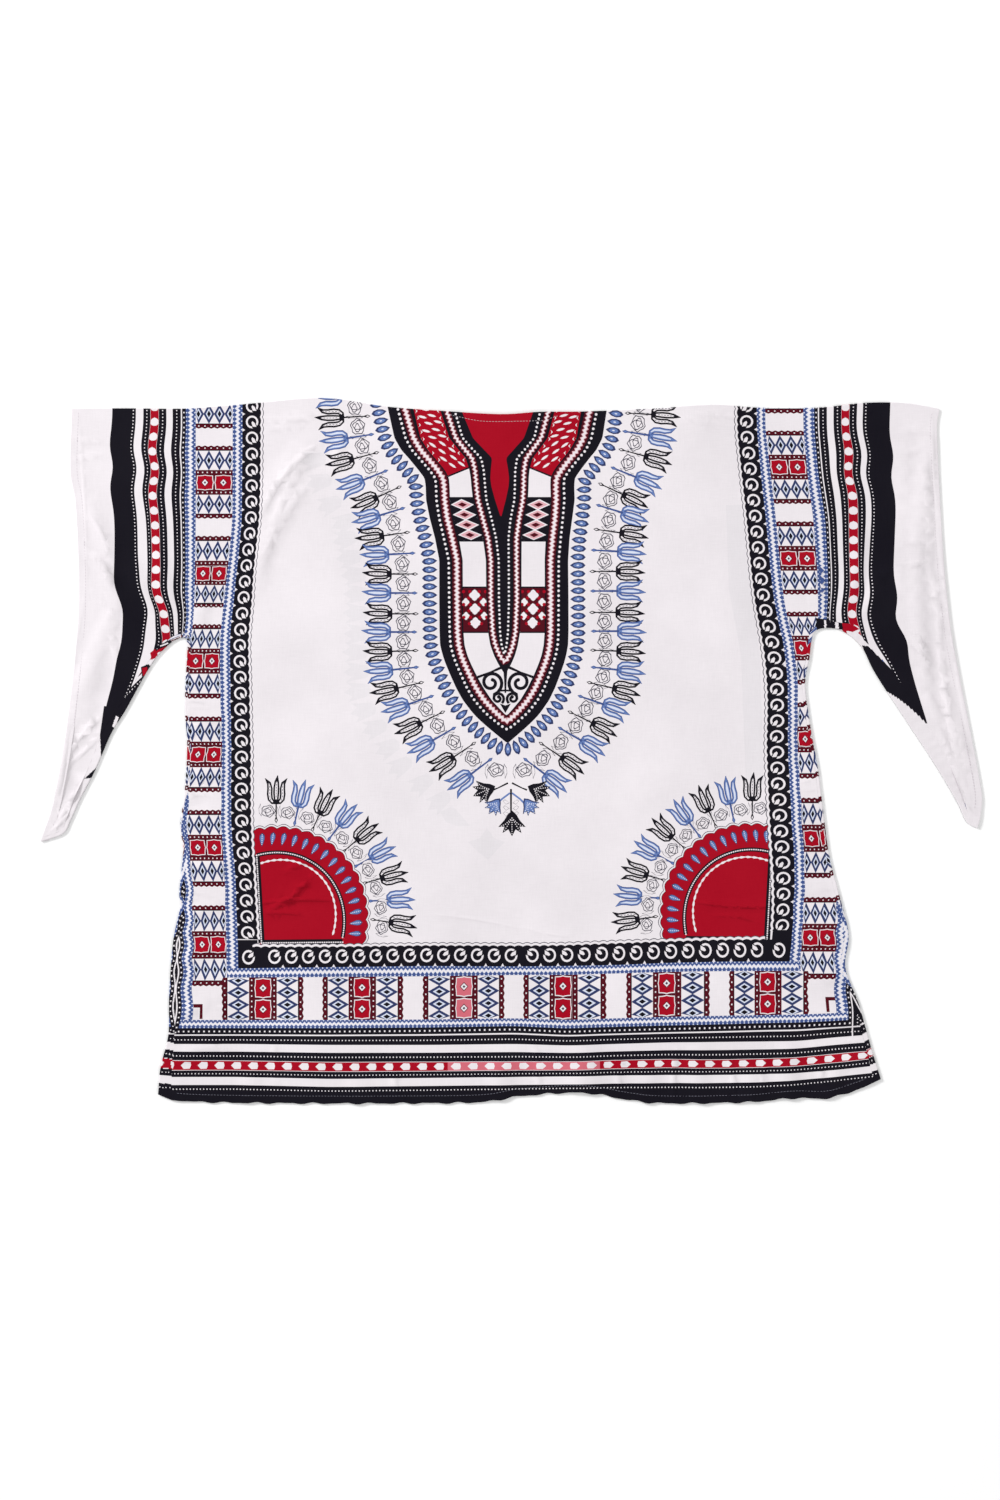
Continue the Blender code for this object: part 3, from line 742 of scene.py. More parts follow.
def red_panel(way):
    """The red field with white grains and small chevrons at its edges."""
    paint("ink", field_cell(way, RED_FIELD_TOP, 477, low_in=468.5))
    paint("red", field_cell(way, RED_FIELD_TOP, 475.5, low_in=467))
    for row, down in enumerate(np.arange(395, 470, 7.0)):
        for column in (0.26, 0.62) if row % 2 else (0.42, 0.78):
            low = down + 4 * (0.5 - column)
            if low <= 466 - 8 * column + 6:
                tilt = -0.25 * way - (0.35 * way if down > 440 else 0)
                paint("white", turned(GRAIN, in_field(way, column, low), tilt))
        for column in (0.05, 0.95) if down <= 462 else ():
            inward = 1 if (column < 0.5) == (way < 0) else -1
            chevron = np.array([(0, -2.2), (2.2 * inward, 0), (0, 2.2), (0.9 * inward, 0)])
            paint("white", in_field(way, column, down + 2) + chevron)


def flower_panel(way):
    """White flowers between small red ones on dark red."""
    paint("wine", field_cell(way, *FLOWER_FIELD))
    angle = np.arange(16) * TAU / 16
    reach = 1 + 0.16 * np.cos(4 * angle)
    for number in range(7):
        down = 595.2 + 6.9 * number
        wide, tall = (3.3, 3.6) if number % 2 else (4.9, 5.0)
        for share in (0.12, 0.88) if number % 2 else (0.5,):
            if down + tall < 631:
                flower = np.stack([wide * reach * np.cos(angle), tall * reach * np.sin(angle)], -1)
                paint("white", in_field(way, share, down) + flower)
    for number in range(7):
        down = 591.6 + 6.4 * number
        for share in (0.25, 0.75) if number % 2 else (0.03, 0.97, 0.3, 0.7):
            if down < 630:
                paint("red", in_field(way, share, down) + circle(8, 1.7))


def panels():
    """The fields of the neck: red, white, diamonds, white, flowers, white and scrolls."""
    for way in (-1, 1):
        red_panel(way)
        for top, low in FIELD_LINES:
            paint("ink", field_cell(way, top, low))
        paint("ink", field_cell(way, *DIAMOND_FIELD))
        for number in range(4):
            middle = 504.6 + 10.1 * number
            for colour, wide, tall in (("white", 0.5, 5.6), ("pinkish", 0.4, 4.2), ("wine", 0.2, 2.3)):
                tips = [(-wide, 0), (0, tall), (wide, 0), (0, -tall)]
                downs = [np.clip(middle + y, *DIAMOND_FIELD) for _, y in tips]
                paint(colour, [in_field(way, 0.5 + x, down) for (x, _), down in zip(tips, downs)])
        flower_panel(way)
    paint("ink", ROOF)
    paint("ink", [(2 * SCROLL_MIDDLE - x, y) for x, y in ROOF])
    for way in (-1, 1):
        scroll(SCROLL_MIDDLE + way * 14.2, 682.6, 11.4, way, 1.7)
        scroll(SCROLL_MIDDLE + way * 7.4, 698.4, 6.2, way, 1.4)
        hook = [(0.5, 690.5), (6, 690.6), (11.5, 694), (12.4, 699.5)]
        leaf([(SCROLL_MIDDLE + way * x, y) for x, y in hook], [0.9, 1.1, 1.1, 0.6], "ink")
    paint("ink", [(SCROLL_MIDDLE + x, y) for x, y in DROP])
    leaf([(SCROLL_MIDDLE, y) for y in (668, 680, 693)], [2.2, 1.3, 0.8], "ink")


def scroll(x, y, radius, way, weight):
    """A curl like that of a fern, open towards the middle."""
    angle = np.linspace(-0.9, 2.35 * math.pi, 30)
    reach = radius * (1 - 0.088 * (angle + 0.9))
    points = np.stack([x - way * reach * np.cos(angle), y - reach * np.sin(angle)], -1)
    leaf(points, np.linspace(weight, weight * 0.95, len(points)), "ink")
    paint("ink", points[-1] + circle(10, 1.9))


# The right half of a half-open flower, and the tips of its dotted lines. Columns: across, outwards
BUD_HALF = [(0, -9), (3.2, -6), (5.5, -2), (9.8, 2.8), (5.4, 2.6), (6.8, 7.2), (2.6, 4.6), (0, 9.6)]
BUD_TIPS = [(0, 7.5), (5.2, 5.2), (-5.2, 5.2), (7.5, 2.2), (-7.5, 2.2)]


def bud(centre, direction, size, colour):
    """A half-open flower seen from the side, with five points."""
    edge, dots = ("navy", "pale") if colour == "blue" else ("ink", "white")
    points = with_mirror(BUD_HALF) * size
    paint(edge, turned(points, centre, direction))
    if colour == "blue":
        paint("blue", turned(points * 0.8, centre, direction))
    for tip in BUD_TIPS:
        line = np.array([(0, -3.5), (tip[0] * 0.6, tip[1] * 0.35), tip]) * size
        path_dots(dots, turned(line, centre, direction), 2.4, 0.45, 0.45)


def finial():
    """The flowers under the neck's tip."""
    down = math.pi / 2
    for way in (-1, 1):
        rose((510 + way * 14, 770), down)
        leaf([(510 + way * x, y) for x, y in ((2, 783), (12, 788), (17, 790))], [0.9, 0.6, 0.9], "ink")
        bud((511.5 + way * 27, 791), down - way * 1.15, 1.32, "black")
        leaf([(511 + way * x, y) for x, y in ((1, 793), (9, 799), (13, 803))], [0.9, 0.9, 1.0], "blue")
        bud((512 + way * 17.5, 806), down - way * 0.62, 1.05, "blue")
        for step in (0, 6, 12):
            blade = [(1.5, 803 + step * 0.9), (6, 799.5 + step), (8, 801 + step), (5, 804.5 + step)]
            outline(np.array([(511 + way * x, y) for x, y in blade]), 0.42)
    leaf([(511, 789), (511, 815)], [1.0, 0.8], "ink")
    bud((512, 823), down, 1.4, "black")


DROP_HALF = [(0, -7), (1.5, -3.5), (2.8, 1.5), (2.5, 4.8), (0, 7)]


def corner(centre_x, centre_y, way):
    """The quarter round in a lower corner, with its petals and tulips."""
    def polar(base, bulge, degrees, tail=0.0, more=0.0):
        """A point of a rounded quarter square: its radius bulges at the corner and grows to its tail."""
        angle = np.radians(degrees)
        radius = base + bulge * np.sin(2 * angle) + tail * np.asarray(degrees) / 90 + more
        return np.stack([centre_x + way * radius * np.sin(angle), centre_y - radius * np.cos(angle)], -1)

    def outwards(degrees):
        turn = math.radians(degrees)
        return math.atan2(-math.cos(turn), way * math.sin(turn))

    for number in range(9):
        around = 9.2 + 9.1 * number
        direction = outwards(99 * number / 8)
        if number % 2 == 0:
            for shift in (-4.5, 4.5):
                rose(polar(112, 5, around + shift, more=11.5), direction, 0.85)
        tulip(polar(112, 5, around), direction, "blue" if number % 2 else "black", 0.98, 7.0)
    # The red ground with its scalloped edge
    degrees = np.linspace(-3, 95, 15 * 6 + 1)
    bump = np.abs(np.sin(np.pi * np.arange(len(degrees)) / 6))
    left_line = [(centre_x + way * 1.8, centre_y + 9.5), (centre_x - way * 3.1, centre_y - 80)]
    for colour, grow in (("grey", 2.2), ("white", 1.5), ("ink", 0.0), ("red", -0.55)):
        paint(colour, np.vstack([polar(104.5, 10, degrees, 2, 2.6 * bump + grow), left_line]))
    # Teardrops
    for number in range(15):
        around = 2.4 + 6.2 * number
        middle = polar(94.5, 8.5, around, 2)
        for colour, grow in (("navy", 1.0), ("blue", 0.8)):
            paint(colour, turned(with_mirror(DROP_HALF) * grow, middle, outwards(around)))
        path_dots("pale", turned([(0, -4.5), (0, 5)], middle, outwards(around)), 2.0, 0.45, 0.5)
    # The beaded frame
    arc = polar(80, 9, np.linspace(-1, 91.5, 40), 5)
    knee = np.array([centre_x + way * 3.5, centre_y + 8.0])
    sides = []
    for start, end in ((arc[0], knee), (knee, arc[-1] + (0, 5.0))):
        sides.append(np.array([start + (end - start) * share for share in spread(0, 1, 0.05)]))
    for line, wide in ((sides[0], 3.2), (sides[1], 3.2), (arc, 2.1)):
        ribbon("ink", resampled(line, 3), -wide, wide)
    for line in (*sides, arc):
        path_dots("white", line, 2.3, 0.8, 0.62)
    # The wavy white line inside
    degrees = np.linspace(2, 90, 60)
    wave = 0.9 + 0.5 * np.sin(np.arange(len(degrees)) * 2.1)
    ribbon("white", polar(70.5, 13, degrees, 4), -wave * 0.8, wave)


# Where the back's print shows in lumps at the gathered underarms: colour and corners
UNDERARM_MARKS = [
    ("ink", [(104, 706), (125, 708), (122, 724), (113, 737), (103, 752), (101, 756), (100, 735)]),
    ("ink", [(98, 766), (99, 773), (91, 778), (84, 779)]),
    ("white", [(112, 727), (116, 716), (119, 717), (115, 728)]),
    ("ink", [(141, 667), (149, 664), (152, 670), (149, 678), (142, 679)]),
    ("red", [(142, 668), (147, 667), (148, 673), (143, 676)]),
    ("red", [(150, 653), (155, 649), (158, 655), (152, 660)]),
    ("ink", [(156, 646), (171, 640), (173, 645), (158, 650)]),
    ("white", [(160, 645.6), (168, 642.6), (168.5, 643.8), (160.5, 646.8)]),
    ("red", [(157, 650), (167, 646), (164, 650), (155, 654)]),
    ("ink", [(861, 644), (868, 646), (880, 658), (892, 670), (906, 690), (898, 692), (884, 678), (868, 660)]),
    ("white", [(846, 631), (853, 629), (862, 637), (866, 646), (858, 645), (848, 640)]),
    ("red", [(842, 623), (852, 624), (859, 629), (852, 632), (843, 630)]),
    ("ink", [(831, 621), (842, 623), (843, 630), (831, 628)]),
    ("white", [(835, 622), (838.5, 622.6), (838.5, 629), (835, 628.5)]),
    ("ink", [(816, 618), (830, 620), (831, 628), (822, 631), (817, 630)]),
    ("white", [(824, 620), (826, 620.4), (826.5, 628), (824.5, 628)]),
]


# The quarter rounds of the lower corners. Columns: middle across, middle down, inward way
QUARTERS = [(258, 935, 1), (770.5, 932, -1)]


def print_shapes():
    """Every shape of the print in print units, each painted over the ones before it."""
    for corners in BORDER_SHADES:
        paint("ghost", corners)
    for quarter in QUARTERS:
        corner(*quarter)
    neck()
    finial()
    borders()
    for colour, corners in UNDERARM_MARKS:
        paint(colour, corners)
    return shapes


# The cloth's form. Sizes are in millimetres, as in the solids, and UNIT is a print unit's size
UNIT = 1.27
MM = 0.001
ZERO = (510.0, 753.5)
MOVED = (-1.6444, -3.3824)
BACK_MIDDLE = 0.6
FRONT_MIDDLE = 2.1
SEAM_MIDDLE = 3.0
ROLL_RADIUS = 1.2
SEAM_LIFT_REACH = 20.0
NECK_LIFT = 2.4
NECK_LIFT_REACH = 26.0
FOLD_CLEAR_OF_SEAM = 11.0
CURVE_STEPS = 12
ABOVE_MIDDLE = 0.3
EDGE_STEP = 5.0
GRID_STEP = 11.5
STRIP_STEP = 1.2
STRIP_RIPPLE = 0.22
RIPPLE_PERIOD = 13.0

# The shoulder edge with the dip of the neck in its middle. Columns: across, up
SHOULDER = [
    (-556, 437.5),
    (-489, 438),
    (-417, 437.5),
    (-362, 441),
    (-318, 445),
    (-235, 451),
    (-155, 440),
    (-89, 435),
    (-13, 430.5),
    (38, 433.5),
    (91, 434),
    (179, 437.5),
    (257, 442.5),
    (315, 439),
    (391, 439),
    (451, 445),
    (502, 444.5),
    (545, 437.5),
]
NECK_ENDS = (-112, 98)

# The cuffs from the shoulder to the last point before the tip. Columns: across, up
LEFT_CUFF = [
    (-556, 437.5),
    (-558, 360),
    (-551, 314),
    (-547, 205),
    (-552, 121),
    (-564, 20),
    (-575, -42),
    (-582, -73),
]
RIGHT_CUFF = [
    (545, 437.5),
    (542, 403),
    (549, 267),
    (555, 195),
    (563, 136),
    (583, 35),
    (598, -46),
    (598, -72),
]

# The hem between its two corners. Columns: across, up
HEM = [
    (-385, -442.5),
    (-268, -444),
    (-140, -444),
    (-38, -442.5),
    (13, -435),
    (91, -430.5),
    (152, -440),
    (199, -444),
    (302, -442.5),
    (359, -437.5),
    (403, -437.5),
    (443, -426),
]

# From the sleeve's tip along its lower edge to the underarm and down the side to the hem.
# Columns: outer edge across, outer edge up, seam across, seam up
LEFT_SEAM = [
    (-596, -112, -594, -106.5),
    (-568, -102, -571, -97.5),
    (-558, -84.5, -563, -82),
    (-546, -58, -552.5, -55),
    (-527, -21, -535, -17),
    (-507, 25, -516, 30),
    (-488, 56, -496, 61),
    (-457, 111, -461.5, 114),
    (-434, 138, -437.5, 142),
    (-417, 147, -417, 152.5),
    (-410, 140, -405, 143),
    (-412, 93, -408, 93.5),
    (-413, 53, -408.5, 53),
    (-410, 12, -405.5, 12),
    (-413, -46, -408.5, -46),
    (-419, -93, -414, -93),
    (-415, -121, -410, -121),
    (-420, -175, -415, -175),
    (-419, -195, -413.5, -194),
    (-428, -239, -421, -238),
    (-433, -307, -425, -306),
    (-434, -357, -426, -357),
    (-444, -399, -429, -399),
    (-447, -433, -430.5, -440),
]
RIGHT_SEAM = [
    (593, -95, 595, -89.5),
    (580, -87, 584.5, -83),
    (568, -62, 576, -58),
    (541, -16, 555, -8),
    (499, 48, 517, 59),
    (464, 102, 479, 112),
    (447, 135, 454, 140),
    (425, 154, 427.5, 159),
    (405, 159.5, 404.5, 164.5),
    (386, 153, 382.5, 156.5),
    (380, 119, 375.5, 119),
    (375, 87, 370.5, 87),
    (382, 32, 377.5, 32),
    (392, -25, 387.5, -24),
    (404, -121, 399, -120),
    (417, -175, 411.5, -174),
    (430, -229, 424, -229),
    (426, -272, 420.5, -272),
    (443, -318, 436.5, -316),
    (458, -371, 450.5, -369),
    (471, -413.5, 462.5, -417.5),
]

# Soft folds of the front. Columns: start across, start up, end across, end up, bow, half width, height
FOLDS = [
    (-250, 396, -320, 292, -8, 24, 3.0),
    (-318, 300, -326, 205, 6, 20, 2.4),
    (-262, 342, -318, 240, -6, 20, 2.0),
    (-538, 325, -503, 222, 5, 17, 2.8),
    (-536, 262, -500, 185, 5, 15, 2.6),
    (-524, 150, -574, -64, -8, 16, 3.4),
    (-492, 205, -545, 0, -10, 16, 2.8),
    (-424, 158, -446, 282, 4, 16, 3.2),
    (-436, 150, -482, 250, 6, 15, 2.8),
    (-398, 150, -386, 240, -4, 15, 2.2),
    (-560, 30, -590, -96, 4, 12, 2.6),
    (532, 392, 522, 140, -9, 18, 4.4),
    (520, 160, 584, -80, -12, 15, 4.0),
    (500, 150, 536, 104, 4, 14, 3.2),
    (424, 168, 446, 290, -4, 16, 3.2),
    (436, 164, 478, 250, -6, 15, 2.8),
    (398, 172, 386, 262, 4, 15, 2.4),
    (500, 402, 494, 190, 5, 17, 2.2),
    (548, 90, 588, -60, 5, 11, 2.8),
    (-330, -452, -322, -388, 4, 22, 1.8),
    (-186, -452, -194, -398, 4, 24, 1.6),
    (-12, -452, -2, -380, 5, 26, 2.8),
    (92, -446, 86, -352, -6, 34, 4.2),
    (176, -452, 180, -392, 4, 22, 2.2),
    (246, -452, 240, -372, 5, 24, 3.0),
    (306, -452, 314, -396, 4, 20, 2.6),
    (360, -450, 352, -366, 4, 24, 3.4),
    (410, -446, 418, -392, 4, 18, 2.6),
]

# Puckers that run in from the side seams. Columns: up, length, half width, height
LEFT_PUCKERS = [
    (98, 40, 15, 2.0),
    (34, 46, 15, 1.6),
    (-32, 38, 14, 2.2),
    (-84, 50, 15, 2.4),
    (-150, 60, 16, 2.6),
    (-206, 52, 15, 2.8),
    (-262, 60, 17, 2.4),
    (-330, 48, 15, 2.8),
    (-384, 60, 16, 3.0),
]
RIGHT_PUCKERS = [
    (104, 36, 14, 1.8),
    (42, 40, 15, 1.8),
    (-44, 46, 15, 1.8),
    (-112, 52, 16, 2.2),
    (-176, 66, 17, 3.0),
    (-236, 58, 15, 3.2),
    (-290, 50, 15, 2.6),
    (-344, 66, 17, 3.2),
    (-396, 56, 15, 3.0),
]
PUCKER_TILT = 0.2


def smooth_curve(points):
    """Points close together on a curve that passes smoothly through the given ones."""
    p = np.array(points, float)
    p = np.vstack([2 * p[0] - p[1], p, 2 * p[-1] - p[-2]])
    t = (np.arange(CURVE_STEPS) / CURVE_STEPS)[:, None]
    runs = []
    for before, start, end, after in zip(p, p[1:], p[2:], p[3:]):
        slope = (end - before) * t
        bend = (2 * before - 5 * start + 4 * end - after) * t**2
        twist = (3 * start - before - 3 * end + after) * t**3
        runs.append((2 * start + slope + bend + twist) / 2)
    return np.vstack([*runs, p[-2:-1]])


def distance_to_line(points, line):
    """How far each point is from a line of straight stretches, seen from above."""
    flat = points.reshape(-1, 2)
    nearest = np.full(len(flat), np.inf)
    for start, end in zip(line, line[1:]):
        run = end - start
        share = np.clip((flat - start) @ run / (run @ run), 0, 1)
        away = np.linalg.norm(flat - start - share[:, None] * run, axis=1)
        nearest = np.minimum(nearest, away)
    return nearest.reshape(points.shape[:-1])


def fold_height(points, start_across, start_up, end_across, end_up, bow, half_width, height):
    """A soft ridge along a slightly bowed line, which fades out at both ends."""
    start = np.array([start_across, start_up])
    run = np.array([end_across, end_up]) - start
    length = np.hypot(*run)
    run = run / length
    offset = points - start
    share = np.clip((offset @ run) / length, 0, 1)
    beside = offset @ np.array([-run[1], run[0]]) - 4 * bow * share * (1 - share)
    past_end = offset @ run - share * length
    across_share = np.clip(np.hypot(beside, past_end) / half_width, 0, 1)
    lengthways = np.sin(np.pi * np.clip(share, 0.02, 0.98)) ** 0.5
    return height * lengthways * np.cos(np.pi / 2 * across_share) ** 2


def pucker_rows(left_side, right_side):
    """The side puckers as rows like those of FOLDS."""
    rows = []
    for side, table, inward in ((left_side, LEFT_PUCKERS, 1), (right_side, RIGHT_PUCKERS, -1)):
        for up, length, half_width, height in table:
            edge = np.interp(-up, -side[:, 1], side[:, 0])
            end = edge + inward * length
            rows.append((edge, up, end, up + PUCKER_TILT * length, 2, half_width, height))
    return rows


def front_heights(points, seams, folds):
    """The height of the front panel's middle surface at each point."""
    to_seam = np.minimum(*[distance_to_line(points, seam) for seam in seams])
    shoulder = smooth_curve(SHOULDER)
    below_shoulder = np.interp(points[..., 0], shoulder[:, 0], shoulder[:, 1]) - points[..., 1]
    raised = sum(fold_height(points, *row) for row in folds)
    clear = 1 - np.exp(-((np.minimum(to_seam, below_shoulder) / FOLD_CLEAR_OF_SEAM) ** 2))
    neck_middle = sum(NECK_ENDS) / 2
    neck_half = (NECK_ENDS[1] - NECK_ENDS[0]) / 2
    in_neck = np.clip(1 - ((points[..., 0] - neck_middle) / neck_half) ** 2, 0, 1)
    neck = NECK_LIFT * in_neck * np.exp(-((below_shoulder / NECK_LIFT_REACH) ** 2))
    at_seam = (SEAM_MIDDLE - FRONT_MIDDLE) * np.exp(-((to_seam / SEAM_LIFT_REACH) ** 2))
    at_shoulder = 1 - np.exp(-((np.clip(below_shoulder, 0, None) / FOLD_CLEAR_OF_SEAM) ** 2))
    return FRONT_MIDDLE + at_seam * at_shoulder + raised * clear + neck


# Fine creases of the front, besides the solids' folds. Columns: start across, start up, end across, end up,
# bow, half width, height
CREASES = [
    (-538, 309, -508, 248, 4, 5, 1.4),
    (-534, 256, -503, 210, 4, 7, 3.2),
    (-531, 206, -498, 166, 3, 7, 2),
    (-556, 401, -512, 394, -2, 6, 0.8),
    (-555, 372, -512, 380, 2, 7, 0.8),
    (-522, 44, -558, -2, -4, 6, 3.2),
    (-521, 26, -562, -14, 3, 5, 1.4),
    (-524, -8, -564, -62, 4, 6, 2.5),
    (-536, -38, -576, -92, -3, 5, 2),
    (-548, -58, -584, -100, 3, 4, 1.5),
    (-548, 428, -538, 205, 3, 4, 0.6),
    (-540, 200, -568, -50, -5, 4, 0.6),
    (-502, 160, -498, 118, -3, 7, 1.9),
    (527, 366, 533, 231, 3, 8, 2.2),
    (533, 236, 546, 150, 3, 8, 2.2),
    (545, 160, 582, -58, -6, 7, 2.5),
    (536, 425, 545, 300, -2, 4, 0.8),
    (543, 300, 585, 10, -4, 4, 0.8),
    (498, 408, 532, 402, 5, 8, 1.5),
    (497, 384, 524, 389, -4, 8, 1.2),
    (500, 268, 526, 262, 3, 8, 1.7),
    (499, 240, 528, 246, -3, 7, 1.5),
    (503, 158, 528, 128, 3, 5, 2.7),
    (506, 142, 532, 112, 2, 4, 1.4),
    (560, -20, 588, -78, -3, 5, 2.2),
    (548, 26, 572, -48, 3, 5, 1.4),
    (-240, 396, -313, 309, -8, 7, 2.1),
    (-258, 376, -306, 262, -7, 9, 1.9),
    (-250, 348, -316, 238, -7, 8, 1.2),
    (-311, 424, -246, 429, -3, 7, 1.5),
    (-310, 408, -250, 414, 4, 7, 1),
    (214, 428, 278, 408, 4, 8, 2),
    (210, 438, 290, 428, -3, 6, 1.4),
    (-212, 424, -230, 352, 4, 10, 1.4),
    (-98, -205, 18, -224, 3, 3, 0.7),
    (10, -218, 74, -232, -3, 3, 0.6),
    (-316, -190, -224, -187, 3, 4, 3.4),
    (-304, -197, -254, -158, -4, 6, 4.6),
    (-316, -203, -262, -205, 2, 4, 2.3),
    (-286, -150, -240, -134, 3, 6, 2.4),
    (236, -188, 334, -194, -3, 4, 3.4),
    (262, -206, 316, -214, 3, 4, 2),
    (-372, -318, -338, -352, 3, 6, 2),
    (-384, -360, -342, -392, -3, 6, 2),
    (-304, -360, -296, -424, 3, 7, 1.5),
    (-150, -392, -146, -438, 2, 6, 1.5),
    (30, -372, 36, -432, 3, 7, 1.7),
    (140, -380, 136, -436, 3, 7, 2),
    (214, -376, 208, -436, -3, 6, 2),
    (276, -384, 284, -438, 3, 6, 2),
    (330, -372, 322, -432, -3, 7, 2.2),
    (388, -376, 396, -430, 3, 6, 2.2),
]
# Small gathers along the side seams. Columns: first up, step down, number, side, inward way, height
GATHERS = [
    (128, 11.6, 48, "left", 1, 1.0),
    (140, 14.3, 38, "right", -1, 0.7),
]


def gather_rows():
    """The small gathers as rows like those of CREASES, uneven in place, length and height."""
    rows = []
    for first, step, count, side, inward, height in GATHERS:
        seam = LEFT_CORNER if side == "left" else RIGHT_CORNER
        for number in range(count):
            up = first - step * number + 3.2 * math.sin(number * 2.1)
            edge = float(np.interp(-up, -seam[:, 1], seam[:, 0]))
            length = 24 + 10 * math.sin(number * 1.3)
            high = height * (0.75 + 0.45 * math.sin(number * 1.7))
            rows.append((edge, up, edge + inward * length, up + 4 * math.sin(number * 0.9), 1.5, 4.2, high))
    return rows


# The print swerves by this much within this reach of the two side lines, below the underarms, in millimetres
SWERVE = 1.5
SWERVE_LINES = (-412, 412)
SWERVE_REACH = 42
SWERVE_TOP = 120
SLEEVE_SWERVE = 1.7
HEM_RUFFLE = 0.8


def signed_area(points):
    x, y = points[:, 0], points[:, 1]
    return 0.5 * float(np.sum(x * np.roll(y, -1) - np.roll(x, -1) * y))


def to_form(points):
    """Print units to millimetres, with the print's small swerves where the sides are gathered."""
    points = np.asarray(points, float)
    across = (points[..., 0] - ZERO[0]) * UNIT
    up = (ZERO[1] - points[..., 1]) * UNIT
    beside = np.minimum(np.abs(across - SWERVE_LINES[0]), np.abs(across - SWERVE_LINES[1]))
    share = np.exp(-((beside / SWERVE_REACH) ** 2)) * np.clip((SWERVE_TOP - up) / 60, 0, 1)
    swerve = SWERVE * np.sin(up * TAU / 43 + 1.9 * np.sin(up / 37)) * share
    on_sleeve = np.clip((np.abs(across) - 400) / 40, 0, 1) * np.clip((up - 120) / 60, 0, 1)
    swerve += SLEEVE_SWERVE * np.sin(up * TAU / 88 + across / 90 + 1.4 * np.sin(up / 29)) * on_sleeve
    return np.stack([across + swerve, up], -1)


def evenly_along(line, step):
    """The line with points at even distances, close to the step."""
    length = lengths(line)
    wanted = np.linspace(0, length[-1], max(int(round(length[-1] / step)), 1) + 1)
    return columns_at(wanted, length, line)


def seam_lines(rows, columns):
    """The seam or the outer edge from the sleeve's tip round the underarm to the hem."""
    return evenly_along(smooth_curve(rows)[:, columns], 3.0)


def panel_outline(left, right):
    """A panel's outline, anticlockwise, from its side lines, which run from the sleeve's tip to the hem."""
    shoulder = evenly_along(smooth_curve(SHOULDER), EDGE_STEP)
    left_cuff = evenly_along(smooth_curve([*LEFT_CUFF, left[0]]), EDGE_STEP)
    right_cuff = evenly_along(smooth_curve([*RIGHT_CUFF, right[0]]), EDGE_STEP)
    hem = evenly_along(smooth_curve([left[-1], *HEM, right[-1]]), EDGE_STEP)
    from_end = np.minimum(hem[:, 0] - hem[0, 0], hem[-1, 0] - hem[:, 0])
    ruffle = np.sin(hem[:, 0] * TAU / 37) + 0.7 * np.sin(hem[:, 0] * TAU / 23 + 1)
    hem[:, 1] += HEM_RUFFLE * ruffle * np.clip(from_end / 20, 0, 1)
    parts = [left_cuff, left[1:], hem[1:], right[::-1][1:], right_cuff[::-1][1:], shoulder[::-1][1:-1]]
    return np.vstack(parts)


def inside_outline(points, outline):
    """Whether each point lies inside a closed outline."""
    x, y = points[:, 0], points[:, 1]
    inside = np.zeros(len(points), bool)
    for (x0, y0), (x1, y1) in zip(outline, np.roll(outline, -1, axis=0)):
        crosses = (y0 > y) != (y1 > y)
        if y0 != y1:
            inside ^= crosses & (x < (x1 - x0) * (y - y0) / (y1 - y0) + x0)
    return inside


def top_colours(middles, painted, sizes=None):
    """The colour of the last painted shape over each point.

    A face of the given size isn't coloured by a smaller shape."""
    order = np.argsort(middles[:, 0])
    across = middles[order, 0]
    up = middles[order, 1]
    top = np.full(len(middles), -1)
    for number, (_, points) in enumerate(painted):
        low, high = points.min(axis=0), points.max(axis=0)
        first, last = np.searchsorted(across, (low[0], high[0]))
        near = first + np.nonzero((up[first:last] > low[1]) & (up[first:last] < high[1]))[0]
        if sizes is not None:
            near = near[sizes[order[near]] < 1.05 * abs(signed_area(points))]
        if len(near):
            within = inside_outline(np.stack([across[near], up[near]], -1), points)
            top[order[near[within]]] = number
    return [painted[number][0] if number >= 0 else None for number in top]


def split_face(face, points):
    """A face of the cut as triangles, anticlockwise."""
    if len(face) == 3:
        return [tuple(face)]
    parts = tessellate_polygon([[Vector((*points[corner], 0)) for corner in face]])
    triangles = []
    for part in parts:
        a, b, c = (face[number] for number in part)
        turn = signed_area(points[[a, b, c]])
        triangles.append((a, b, c) if turn > 0 else (a, c, b))
    return triangles


